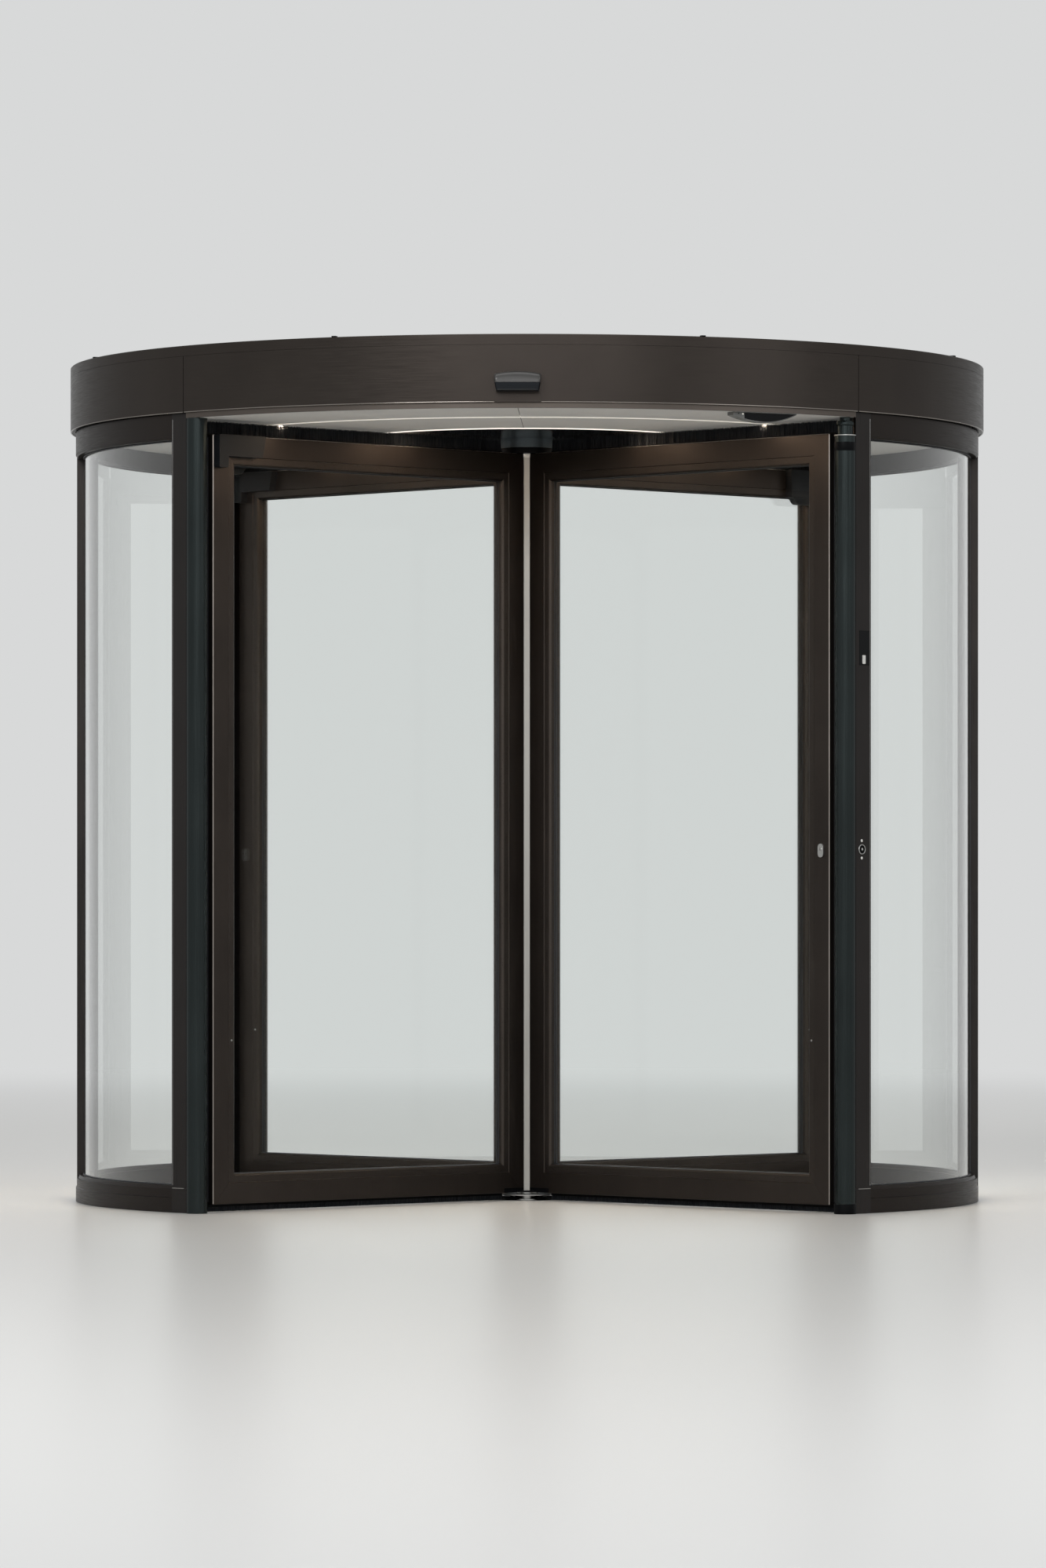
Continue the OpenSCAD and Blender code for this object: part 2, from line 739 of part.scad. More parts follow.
// Angled sensor housings at the leaves' outer top corners, with a slanted inner end, and the
// corner covers on the other face of the front left and the back right leaf
module leaf_sensors() {
  slant = 13;
  bevel = 3;
  color(black) for (az = [leaf_az[0], leaf_az[2]]) rotate([0, 0, az])
    translate([leaf_out - 2, -leaf_t / 2 - fit, leaf_top]) rotate([-90, 0, 180])
      linear_extrude(leaf_sensor_t) corner_outline();
  color(black) for (az = leaf_az) rotate([0, 0, az])
    translate([leaf_out - 2, leaf_t / 2 + fit, leaf_top]) rotate([-90, 180, 0])
      linear_extrude(leaf_sensor_t) polygon([
        [bevel, 0], [leaf_sensor_l, 0], [leaf_sensor_l - slant, -leaf_sensor_h],
        [leaf_sensor_leg_w, -leaf_sensor_h], [leaf_sensor_leg_w, -leaf_sensor_leg_h + bevel],
        [leaf_sensor_leg_w - bevel, -leaf_sensor_leg_h], [bevel, -leaf_sensor_leg_h],
        [0, -leaf_sensor_leg_h + bevel], [0, -bevel]
      ]);
}

// Oval lock cover on the front right leaf
module leaf_lock() {
  width = 21;
  height = 38;
  color(steel) rotate([0, 0, leaf_az[1]])
    translate([leaf_out - bar_w / 2, -leaf_t / 2 - fit, control_z - 3]) rotate([90, 0, 0])
      linear_extrude(4) union() {
        for (side = [-1, 1]) translate([0, side * (height - width) / 2]) circle(d = width);
        square([width, height - width], center = true);
      }
}

floor_bearing();
bearing_covers();
color(bronze) rails(left) base_profile();  // base_rail_left
color(bronze) rails(right) base_profile();  // base_rail_right
color(bronze) rails(left) head_profile();  // head_rail_left
color(bronze) rails(right) head_profile();  // head_rail_right
color(clear) wall_glass(left, 1);  // wall_glass_left_front
color(clear) wall_glass(left, -1);  // wall_glass_left_back
color(clear) wall_glass(right, -1);  // wall_glass_right_front
color(clear) wall_glass(right, 1);  // wall_glass_right_back
color(bronze) facade_joint(left);  // facade_joint_left
color(bronze) facade_joint(right);  // facade_joint_right
color(bronze) post(left, 1);  // post_front_left
color(bronze) difference() {  // post_front_right
  post(right, -1);
  control_pocket();
}
color(bronze) post(left, -1);  // post_back_left
color(bronze) post(right, 1);  // post_back_right
color(bronze) {  // finger_guards_front
  guard_plain(left);
  guard_turned(right);
}
color(bronze) {  // finger_guards_back
  guard_plain(right);
  guard_turned(left);
}
color(bronze) fascia(front);  // fascia_front
color(bronze) fascia(right);  // fascia_right
color(bronze) fascia(back);  // fascia_back
color(bronze) fascia(left);  // fascia_left
fascia_top_trim();
fascia_bottom_trim();
edge_clips();
ring_beam();
cross_beams();
roof_panels();
ceiling_outer();
color(pale)  // ceiling_middle
  ring_panel(light_inner_r + light_w / 2 + fit, light_outer_r - light_w / 2 - fit);
color(bronze)  // ceiling_centre
  ring_panel(hub_d / 2 + run, light_inner_r - light_w / 2 - fit);
light_ring(light_outer_r);  // light_ring_outer
light_ring(light_inner_r);  // light_ring_inner
top_bearing();
color(black) motion_sensor(front);  // motion_sensor_front
color(black) motion_sensor(back);  // motion_sensor_back
color(black) presence_sensor(front);  // presence_sensor_front
color(black) presence_sensor(back);  // presence_sensor_back
post_controls();
centre_column();
column_foot();
pivot_block();
hub();
hub_collar();
leaf_frame(0);  // leaf_frame_1
leaf_frame(1);  // leaf_frame_2
leaf_frame(2);  // leaf_frame_3
leaf_frame(3);  // leaf_frame_4
leaf_shoes();
leaf_glass(0);  // leaf_glass_1
leaf_glass(1);  // leaf_glass_2
leaf_glass(2);  // leaf_glass_3
leaf_glass(3);  // leaf_glass_4
glazing_beads();
top_brushes();
bottom_brushes();
outer_seals();
leaf_sensors();
leaf_lock();
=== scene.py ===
import json
import math
import bmesh
import bpy
from mathutils import Matrix, Vector


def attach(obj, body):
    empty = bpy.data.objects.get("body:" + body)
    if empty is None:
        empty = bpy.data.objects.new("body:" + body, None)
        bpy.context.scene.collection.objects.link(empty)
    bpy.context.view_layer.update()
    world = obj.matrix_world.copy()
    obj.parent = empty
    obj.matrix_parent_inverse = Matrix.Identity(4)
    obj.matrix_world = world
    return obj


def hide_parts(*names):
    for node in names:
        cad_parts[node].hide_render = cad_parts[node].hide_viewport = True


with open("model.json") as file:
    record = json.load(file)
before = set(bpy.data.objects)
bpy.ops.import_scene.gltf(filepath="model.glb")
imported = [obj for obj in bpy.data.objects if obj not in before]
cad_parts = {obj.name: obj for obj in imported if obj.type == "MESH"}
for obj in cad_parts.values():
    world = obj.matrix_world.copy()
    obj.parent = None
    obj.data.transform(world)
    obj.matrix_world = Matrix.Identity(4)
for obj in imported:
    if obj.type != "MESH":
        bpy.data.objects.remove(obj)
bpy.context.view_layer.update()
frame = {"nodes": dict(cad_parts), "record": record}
nodes = frame["nodes"]
mm = 0.001
print("frame loaded:", len(nodes), "nodes")

# The door's driving sizes in millimetres, as the CAD has them
door = {
    "clearHeight": 2200,
    "wallOut": 1305,
    "wallIn": 1250,
    "glassOut": 1280,
    "glassIn": 1268,
    "baseHeight": 75,
    "headHeight": 56,
    "doorwayDeg": 45.2,
    "postWidth": 60,
    "jointWidth": 28,
    "leafIn": 37.33,
    "leafOut": 1232,
    "leafBottom": 22,
    "leafTop": 2158,
    "leafThickness": 50,
    "barWidth": 60,
    "beadWidth": 23,
    "leafGlass": 10,
}
leafAngles = [-135, -45, 45, 135]
wallHalves = [(middle, side) for middle in (0, 180) for side in (-1, 1)]  # azimuth of a wall's middle, side


def linearColour(hexColour):  # sRGB hex to linear RGBA
    values = [int(hexColour[i:i + 2], 16) / 255 for i in (1, 3, 5)]
    return [v / 12.92 if v <= 0.04045 else ((v + 0.055) / 1.055) ** 2.4 for v in values] + [1]


def addNode(tree, kind, settings=None, inputs=None):  # a node with its settings, values and links
    made = tree.nodes.new(kind)
    for key, value in (settings or {}).items():
        setattr(made, key, value)
    for key, value in (inputs or {}).items():
        if isinstance(value, bpy.types.NodeSocket):
            tree.links.new(value, made.inputs[key])
        else:
            made.inputs[key].default_value = value
    return made


# Camera, worked out from the photograph's horizon, ellipses and floor line
camera = {
    "imageWidth": 1333,
    "imageHeight": 1998,
    "focalLength": 8834,  # in pixels of the photograph
    "axisColumn": 671.7,
    "horizonRow": 1150,
    "distance": 20.09,
    "eyeHeight": 0.860,
    "azimuth": 1.1,
    "sensor": 36,
    "farClip": 400,
}


def makeCamera():
    data = bpy.data.cameras.new("photoCamera")
    data.sensor_width = camera["sensor"]
    data.lens = camera["focalLength"] / camera["imageHeight"] * camera["sensor"]
    data.shift_x = (camera["imageWidth"] / 2 - camera["axisColumn"]) / camera["imageHeight"]
    data.shift_y = (camera["horizonRow"] - camera["imageHeight"] / 2) / camera["imageHeight"]
    data.clip_end = camera["farClip"]
    made = bpy.data.objects.new("photoCamera", data)
    turn = math.radians(camera["azimuth"])
    made.location = (camera["distance"] * math.sin(turn), -camera["distance"] * math.cos(turn),
                     camera["eyeHeight"])
    made.rotation_euler = (math.pi / 2, 0, turn)
    bpy.context.scene.collection.objects.link(made)
    bpy.context.scene.camera = made


makeCamera()
bpy.context.scene.view_settings.view_transform = "Standard"

# Studio: pale floor that fades into a pale background, soft lamps
studio = {
    "background": "#d8d9d9",
    "floor": "#c6c5c2",
    "floorRoughness": 0.3,
    "floorSpecular": 0.3,
    "floorReach": 90,
    "floorDrop": 0.0005,
    "fadeFrom": 5.0,
    "fadeTo": 16.0,
    "ambient": 0.42,
    "ambientColour": "#f4f6f8",
    "aimHeight": 1.1,
    "lamps": [  # place, width, height, power
        ((-4.5, -11.0, 8.0), 5.0, 5.0, 760),
        ((1.4, -13.0, 4.7), 12.0, 2.2, 235),
        ((9.0, -6.0, 6.0), 6.0, 6.0, 170),
        ((0.0, 9.0, 7.5), 7.0, 7.0, 260),
        ((0.0, 0.0, 10.0), 6.0, 6.0, 130),
    ],
    "ringLamps": [  # radius, count and power of the small lamps under the two diffuser rings
        (0.960, 36, 0.36),
        (0.508, 24, 0.22),
    ],
    "ringLampHeight": 2.1975,
    "ringLampSize": 0.012,
    "ringLampColour": "#ffe2c4",
}


def newMaterial(name):
    made = bpy.data.materials.new(name)
    made.use_nodes = True
    made.node_tree.nodes.clear()
    return made, made.node_tree


def seenDirectly(tree):  # 1 where the camera, a reflection or a pane looks at it, and 0 for light
    path = addNode(tree, "ShaderNodeLightPath")
    seen = path.outputs["Is Camera Ray"]
    for ray in ("Is Glossy Ray", "Is Transmission Ray"):
        larger = addNode(tree, "ShaderNodeMath", {"operation": "MAXIMUM"}, {0: seen, 1: path.outputs[ray]})
        seen = larger.outputs[0]
    return seen


def makeWorld():
    world = bpy.data.worlds.new("paleStudio")
    world.use_nodes = True
    tree = world.node_tree
    tree.nodes.clear()
    light = addNode(tree, "ShaderNodeBackground", None,
                    {"Color": linearColour(studio["ambientColour"]), "Strength": studio["ambient"]})
    pale = addNode(tree, "ShaderNodeBackground", None,
                   {"Color": linearColour(studio["background"]), "Strength": 1.0})
    mixed = addNode(tree, "ShaderNodeMixShader", None,
                    {0: seenDirectly(tree), 1: light.outputs[0], 2: pale.outputs[0]})
    addNode(tree, "ShaderNodeOutputWorld", None, {"Surface": mixed.outputs[0]})
    bpy.context.scene.world = world


def floorMaterial():  # matt pale floor, which turns into the background far from the door
    made, tree = newMaterial("paleFloor")
    place = addNode(tree, "ShaderNodeTexCoord")
    away = addNode(tree, "ShaderNodeVectorMath", {"operation": "LENGTH"}, {0: place.outputs["Object"]})
    fade = addNode(tree, "ShaderNodeMapRange", {"interpolation_type": "SMOOTHSTEP"},
                   {"Value": away.outputs["Value"], "From Min": studio["fadeFrom"],
                    "From Max": studio["fadeTo"]})
    share = addNode(tree, "ShaderNodeMath", {"operation": "MULTIPLY"},
                    {0: fade.outputs["Result"], 1: seenDirectly(tree)})
    solid = addNode(tree, "ShaderNodeBsdfPrincipled", None,
                    {"Base Color": linearColour(studio["floor"]), "Roughness": studio["floorRoughness"],
                     "Specular IOR Level": studio["floorSpecular"]})
    pale = addNode(tree, "ShaderNodeEmission", None, {"Color": linearColour(studio["background"])})
    mixed = addNode(tree, "ShaderNodeMixShader", None,
                    {0: share.outputs[0], 1: solid.outputs[0], 2: pale.outputs[0]})
    addNode(tree, "ShaderNodeOutputMaterial", None, {"Surface": mixed.outputs[0]})
    return made


def addLamp(name, shape, size, place, power):  # an area lamp that the camera doesn't see
    data = bpy.data.lights.new(name, "AREA")
    data.shape = shape
    data.size = size
    data.energy = power
    lamp = bpy.data.objects.new(data.name, data)
    lamp.location = place
    lamp.visible_camera = False
    bpy.context.scene.collection.objects.link(lamp)
    return lamp


def makeRingLamps():  # the light strips' own warm light, which falls on the leaves below them
    for radius, count, power in studio["ringLamps"]:
        for index in range(count):
            turn = 2 * math.pi * (index + 0.5) / count
            place = (radius * math.cos(turn), radius * math.sin(turn), studio["ringLampHeight"])
            lamp = addLamp(f"ringLamp{index + 1}", "DISK", studio["ringLampSize"], place, power)
            lamp.data.color = linearColour(studio["ringLampColour"])[:3]


def makeStudio():
    makeWorld()
    makeRingLamps()
    mesh = bpy.data.meshes.new("floor")
    reach = studio["floorReach"]
    corners = [(x * reach, y * reach, 0) for x, y in ((-1, -1), (1, -1), (1, 1), (-1, 1))]
    mesh.from_pydata(corners, [], [(0, 1, 2, 3)])
    mesh.materials.append(floorMaterial())
    floor = bpy.data.objects.new("floor", mesh)
    floor.location.z = -studio["floorDrop"]
    bpy.context.scene.collection.objects.link(floor)
    for index, (place, width, height, power) in enumerate(studio["lamps"]):
        lamp = addLamp(f"softLamp{index + 1}", "ELLIPSE", width, place, power)
        lamp.data.size_y = height
        lamp.rotation_mode = "QUATERNION"
        away = Vector(place) - Vector((0, 0, studio["aimHeight"]))
        lamp.rotation_quaternion = away.to_track_quat("Z", "Y")


makeStudio()
print("studio ready")


# Materials, each from what the real one is
def patternSpace(tree, stretch=(1, 1, 1)):  # object coordinates in metres, stretched per axis
    place = addNode(tree, "ShaderNodeTexCoord")
    return addNode(tree, "ShaderNodeMapping", None,
                   {"Vector": place.outputs["Object"], "Scale": stretch}).outputs[0]


# Two tones mixed by a pattern, then the gloss range and the relief that a pattern gives
def finishMaterial(tree, light, dark, share, finish, gloss=None, relief=None):
    colour = addNode(tree, "ShaderNodeMix", {"data_type": "RGBA"},
                     {0: share, 6: linearColour(dark), 7: linearColour(light)})
    finish["Base Color"] = colour.outputs[2]
    if gloss:
        finish["Roughness"] = addNode(tree, "ShaderNodeMapRange", None, gloss).outputs[0]
    if relief:
        finish["Normal"] = addNode(tree, "ShaderNodeBump", None, relief).outputs[0]
    surface = addNode(tree, "ShaderNodeBsdfPrincipled", None, finish)
    addNode(tree, "ShaderNodeOutputMaterial", None, {"Surface": surface.outputs[0]})


# Anodised extrusions and sheet: a satin oxide film with fine die lines along the profile
anodised = {
    "toneSize": 300,  # mm between slight changes of tone
    "lineSpacing": 2.5,  # mm; real die lines are finer, and drawn this coarse so that they show
    "lineDepth": 0.00004,  # metres, as every depth of a pattern
    "lineTone": 0.35,  # how much the lines change the tone
    "glossSpread": 0.05,
    "shallowTint": [0.62, 0.62, 0.62, 1],  # the dyed film swallows more of the light that skims it
    "grain": {"upright": (1, 1, 0.012), "level": (0.03, 0.03, 1), "even": (1, 1, 1)},
}


def anodisedAluminium(name, light, dark, grain, roughness, metallic=0.85):
    made, tree = newMaterial(name)
    tone = addNode(tree, "ShaderNodeTexNoise", None,
                   {"Vector": patternSpace(tree), "Scale": 1000 / anodised["toneSize"], "Detail": 3.0,
                    "Roughness": 0.55})
    lines = addNode(tree, "ShaderNodeTexNoise", None,
                    {"Vector": patternSpace(tree, anodised["grain"][grain]),
                     "Scale": 1000 / anodised["lineSpacing"], "Detail": 2.0, "Roughness": 0.5}).outputs[0]
    mixed = addNode(tree, "ShaderNodeMath", {"operation": "MULTIPLY_ADD"},
                    {0: lines, 1: anodised["lineTone"], 2: tone.outputs[0]})
    share = addNode(tree, "ShaderNodeMapRange", None,
                    {"Value": mixed.outputs[0], "From Min": 0.35, "From Max": 1.0})
    spread = anodised["glossSpread"]
    finishMaterial(tree, light, dark, share.outputs[0],
                   {"Metallic": metallic, "Specular Tint": anodised["shallowTint"]},
                   {"Value": lines, "From Min": 0.3, "From Max": 0.7,
                    "To Min": roughness - spread, "To Max": roughness + spread},
                   {"Strength": 0.35, "Distance": anodised["lineDepth"], "Height": lines})
    return made


# Clear float glass: a thin film of colour from its iron, and a faint roller wave
glass = {"tint": "#fafcfb", "waveSize": 260, "waveDepth": 0.0004, "waveStrength": 0.12, "index": 1.5}


def clearGlass(name):
    made, tree = newMaterial(name)
    wave = addNode(tree, "ShaderNodeTexNoise", None,
                   {"Vector": patternSpace(tree), "Scale": 1000 / glass["waveSize"], "Detail": 1.0})
    bump = addNode(tree, "ShaderNodeBump", None,
                   {"Strength": glass["waveStrength"], "Distance": glass["waveDepth"],
                    "Height": wave.outputs[0]})
    solid = addNode(tree, "ShaderNodeBsdfPrincipled", None,
                    {"Base Color": linearColour(glass["tint"]), "Roughness": 0.0, "IOR": glass["index"],
                     "Transmission Weight": 1.0, "Normal": bump.outputs[0]})
    path = addNode(tree, "ShaderNodeLightPath")
    through = addNode(tree, "ShaderNodeBsdfTransparent", None, {"Color": linearColour(glass["tint"])})
    mixed = addNode(tree, "ShaderNodeMixShader", None,  # lets lamps light what is behind the pane
                    {0: path.outputs["Is Shadow Ray"], 1: solid.outputs[0], 2: through.outputs[0]})
    addNode(tree, "ShaderNodeOutputMaterial", None, {"Surface": mixed.outputs[0]})
    return made


# Painted or coated sheet: fine orange peel, and a slight change of tone
coated = {"toneSize": 454.54545, "peelDepth": 0.0001, "glossShare": 0.15, "coatRoughness": 0.04}  # size in mm


def coatedSheet(name, light, dark, roughness, peel, specular=0.5, coat=0.0):
    made, tree = newMaterial(name)
    tone = addNode(tree, "ShaderNodeTexNoise", None,
                   {"Vector": patternSpace(tree), "Scale": 1000 / coated["toneSize"], "Detail": 2.0})
    skin = addNode(tree, "ShaderNodeTexNoise", None,
                   {"Vector": patternSpace(tree), "Scale": 1000 / peel, "Detail": 2.0}).outputs[0]
    spread = coated["glossShare"]
    finishMaterial(tree, light, dark, tone.outputs[0],
                   {"Specular IOR Level": specular, "Coat Weight": coat,
                    "Coat Roughness": coated["coatRoughness"]},
                   {"Value": skin, "To Min": roughness * (1 - spread), "To Max": roughness * (1 + spread)},
                   {"Strength": 0.2, "Distance": coated["peelDepth"], "Height": skin})
    return made


# Opal acrylic over the light strips: glows a little, with a soft surface
opal = {"light": "#f6f4ee", "dark": "#e6e3dc", "glow": "#fff8ea", "roughness": 0.45,
        "cloudSize": 83.333333}  # mm


def opalDiffuser(name, glow):
    made, tree = newMaterial(name)
    cloud = addNode(tree, "ShaderNodeTexNoise", None,
                    {"Vector": patternSpace(tree), "Scale": 1000 / opal["cloudSize"], "Detail": 2.0})
    finishMaterial(tree, opal["light"], opal["dark"], cloud.outputs[0],
                   {"Roughness": opal["roughness"], "Emission Color": linearColour(opal["glow"]),
                    "Emission Strength": glow})
    return made


# Stainless steel, fine brushed round its axis: the lines stretch a highlight
brushed = {
    "light": "#c2c1be",
    "dark": "#9b9b9a",
    "lineSpacing": 1.1111111,  # mm; real brush lines are finer, and drawn this coarse so that they show
    "lineDepth": 0.00003,
    "stretch": (0.05, 0.05, 1),
    "gloss": (0.22, 0.42),
}


def brushedStainless(name):
    made, tree = newMaterial(name)
    lines = addNode(tree, "ShaderNodeTexNoise", None,
                    {"Vector": patternSpace(tree, brushed["stretch"]), "Scale": 1000 / brushed["lineSpacing"],
                     "Detail": 3.0}).outputs[0]
    finishMaterial(tree, brushed["light"], brushed["dark"], lines, {"Metallic": 1.0, "Anisotropic": 0.4},
                   {"Value": lines, "To Min": brushed["gloss"][0], "To Max": brushed["gloss"][1]},
                   {"Strength": 0.25, "Distance": brushed["lineDepth"], "Height": lines})
    return made


# Moulded plastic: a fine spark-eroded texture that softens its shine
moulded = {"toneSize": 40, "sparkDepth": 0.00005, "gloss": (-0.04, 0.06)}  # size in mm


def mouldedPlastic(name, light, dark, roughness, grain=0.9, specular=0.5):
    made, tree = newMaterial(name)
    spark = addNode(tree, "ShaderNodeTexVoronoi", {"feature": "SMOOTH_F1"},
                    {"Vector": patternSpace(tree), "Scale": 1000 / grain}).outputs["Distance"]
    tone = addNode(tree, "ShaderNodeTexNoise", None,
                   {"Vector": patternSpace(tree), "Scale": 1000 / moulded["toneSize"], "Detail": 2.0})
    smoother, rougher = moulded["gloss"]
    finishMaterial(tree, light, dark, tone.outputs[0], {"Specular IOR Level": specular},
                   {"Value": spark, "To Min": roughness + smoother, "To Max": roughness + rougher},
                   {"Strength": 0.3, "Distance": moulded["sparkDepth"], "Height": spark})
    return made


# Vulcanised EPDM rubber: matt, with a fine bloom
rubber = {"light": "#22252b", "dark": "#101216", "stretch": (1, 1, 0.2), "gloss": (0.5, 0.7),
          "index": 1.5, "bloomSize": 16.666667}  # size in mm


def extrudedRubber(name):
    made, tree = newMaterial(name)
    bloom = addNode(tree, "ShaderNodeTexNoise", None,
                    {"Vector": patternSpace(tree, rubber["stretch"]), "Scale": 1000 / rubber["bloomSize"],
                     "Detail": 4.0}).outputs[0]
    finishMaterial(tree, rubber["light"], rubber["dark"], bloom, {"IOR": rubber["index"]},
                   {"Value": bloom, "To Min": rubber["gloss"][0], "To Max": rubber["gloss"][1]})
    return made


# The record's material slots first, then the finishes that only some pieces have
materials = {
    "bronze_leaf": anodisedAluminium("bronzeAnodisedLeafBar", "#3d3733", "#322d2a", "upright", 0.34),
    "bronze_bead": anodisedAluminium("bronzeAnodisedBead", "#413b37", "#36312d", "even", 0.32),
    # the rails' bronze is a darker copy of the same anodised finish: painted shade
    "bronze_rail": anodisedAluminium("bronzeRailPaintedShade", "#2e2926", "#262220", "level", 0.34),
    "bronze_upright": anodisedAluminium("bronzeAnodisedPost", "#343130", "#2a2827", "upright", 0.32),
    "guard_tube": anodisedAluminium("darkAnodisedTube", "#2e3434", "#252a2a", "upright", 0.24),
    "bronze_sheet": anodisedAluminium("bronzeAnodisedSheet", "#3a3531", "#322d2a", "level", 0.33),
    "roof_sheet": coatedSheet("powderCoatedRoof", "#5a5753", "#504d4a", 0.6, 1.6),
    "ceiling_paint": coatedSheet("stoveEnamelledCeiling", "#d7d6d4", "#cdccca", 0.6, 2.0, 0.3),
    "gloss_panel": coatedSheet("blackGlossPanel", "#0f1012", "#0b0c0d", 0.08, 3.0, 0.6, 0.6),
    "light_diffuser": opalDiffuser("opalAcrylicInnerRing", 1.0),
    "wall_glass": clearGlass("bentLaminatedGlass"),
    "leaf_glass": clearGlass("toughenedGlass"),
    "frame_steel": coatedSheet("primedSteel", "#6d6e70", "#616264", 0.55, 1.2),
    "stainless": brushedStainless("brushedStainlessSteel"),
    "silver_anodised": anodisedAluminium("naturalAnodisedColumn", "#9f9d99", "#93918d", "upright", 0.38),
    "pivot_black": coatedSheet("blackOxideSteel", "#0a0b0d", "#060708", 0.45, 1.0, 0.05),
    "sensor_housing": mouldedPlastic("greyMouldedHousing", "#3f3e3d", "#363534", 0.3, 0.9, 0.4),
    "brush": mouldedPlastic("nylonBristle", "#171b20", "#101317", 0.6, 0.9, 0.25),
    "seal_rubber": extrudedRubber("blackSealRubber"),
    "outerRing": opalDiffuser("opalAcrylicOuterRing", 0.35),
    # the trim under the fascia is a paler copy of the bronze sheet: painted light
    "trimSheetPaintedLight": anodisedAluminium("bronzeTrimPaintedLight", "#5a534e", "#4f4944", "level", 0.36),
    "rimPlastic": mouldedPlastic("greyMouldedRim", "#686866", "#5c5c5a", 0.42, 0.9, 0.35),
    "hubShell": anodisedAluminium("blackAnodisedHub", "#596064", "#4c5356", "level", 0.5),
    "tintedWindow": mouldedPlastic("tintedPolycarbonate", "#080e15", "#050a10", 0.16, 3.0, 0.3),
    "blackWindow": mouldedPlastic("blackPolycarbonate", "#050608", "#040506", 0.14, 3.0, 0.12),
    "leafHousing": mouldedPlastic("blackMouldedHousing", "#111417", "#0c0e11", 0.5, 0.9, 0.25),
    # the leaf arrises are far paler than the leaf bars: painted highlight
    "arrisPaintedHighlight": anodisedAluminium("leafArrisPaintedHighlight", "#a39c95", "#8f8983", "upright", 0.3),
    # the fascia lip is far paler than the fascia sheet: painted highlight
    "lipPaintedHighlight": anodisedAluminium("rolledLipPaintedHighlight", "#8d8781", "#827c77", "level", 0.17, 1.0),
    # the presence sensors' small lens glows faintly: a painted glint
    "lensPaintedGlint": opalDiffuser("glowingLensPaintedGlint", 0.3),
    "paleSwitch": mouldedPlastic("paleMouldedSwitch", "#dcdbd7", "#d0cfcb", 0.35),
    "polishedRing": brushedStainless("polishedStainlessRing"),
}
ownFinishes = {"leaf_sensors": "leafHousing", "light_ring_outer": "outerRing", "hub": "hubShell",
               "fascia_bottom_trim": "trimSheetPaintedLight"}


def dressNodes():
    for part in frame["record"]["subparts"]:
        mesh = nodes[part["node"]].data
        if not mesh.materials:
            mesh.materials.append(None)
        for index in range(len(mesh.materials)):
            mesh.materials[index] = materials[ownFinishes.get(part["node"], part["material_slot"])]


dressNodes()
print("materials assigned:", len(materials))


# Mesh helpers: every piece is drawn in millimetres, in the CAD's frame
def polar(radius, azimuth, z=0.0):
    turn = math.radians(azimuth)
    return Vector((radius * math.cos(turn), radius * math.sin(turn), z))


def onFace(origin, outward):  # local x along a vertical face, y up, z out of it
    up = Vector((0, 0, 1))
    outward = Vector(outward).normalized()
    along = up.cross(outward)
    place = Matrix((along, up, outward)).transposed().to_4x4()
    place.translation = origin
    return place


def onDrum(radius, azimuth, z):
    return onFace(polar(radius, azimuth, z), polar(1, azimuth))


def leafPoint(leaf, along, across, z):  # a point in a leaf's own frame, turned into the CAD's
    azimuth = leafAngles[leaf]
    return polar(along, azimuth, z) + polar(across, azimuth + 90)


def onLeaf(leaf, along, across, z):
    side = 1 if across > 0 else -1
    return onFace(leafPoint(leaf, along, across, z), side * polar(1, leafAngles[leaf] + 90))


def roundedRectangle(width, height, radius, steps=6):
    outline = []
    for corner, (x, y) in enumerate(((1, 1), (-1, 1), (-1, -1), (1, -1))):
        for step in range(steps + 1):
            turn = math.radians(90 * corner + 90 * step / steps)
            outline.append((x * (width / 2 - radius) + radius * math.cos(turn),
                            y * (height / 2 - radius) + radius * math.sin(turn)))
    return outline


def circleOutline(radius, steps=40):
    return [(radius * math.cos(2 * math.pi * i / steps), radius * math.sin(2 * math.pi * i / steps))
            for i in range(steps)]


# Faces from ring to ring; unless the rings close, their ends are capped, and the first cap is returned
def addSkin(form, rings, closed=False):
    rings = [[form.verts.new(point) for point in ring] for ring in rings]
    following = rings[1:] + rings[:1] if closed else rings[1:]
    for here, there in zip(rings, following):
        for a in range(len(here)):
            b = (a + 1) % len(here)
            form.faces.new((here[a], there[a], there[b], here[b]))
    if closed:
        return None
    form.faces.new(list(reversed(rings[-1])))
    return form.faces.new(rings[0])


def addPlate(form, outline, thickness, place, bevel=0.0):  # an outline with thickness, its front edge eased
    front = addSkin(form, [[place @ Vector((x, y, z)) for x, y in outline] for z in (thickness, 0)])
    if bevel:
        bmesh.ops.bevel(form, geom=list(front.edges), offset=bevel, segments=2, affect="EDGES",
                        clamp_overlap=True)


def addLathe(form, profile, place, steps=48):  # a closed outline of (radius, height), turned round
    turns = [2 * math.pi * i / steps for i in range(steps)]
    addSkin(form, [[place @ Vector((r * math.cos(turn), r * math.sin(turn), z)) for r, z in profile]
                   for turn in turns], True)


def addSweep(form, profile, azFrom, azTo, steps):  # a closed outline of (radius, z), swept round the axis
    azimuths = [azFrom + (azTo - azFrom) * i / steps for i in range(steps + 1)]
    addSkin(form, [[polar(r, azimuth, z) for r, z in profile] for azimuth in azimuths])


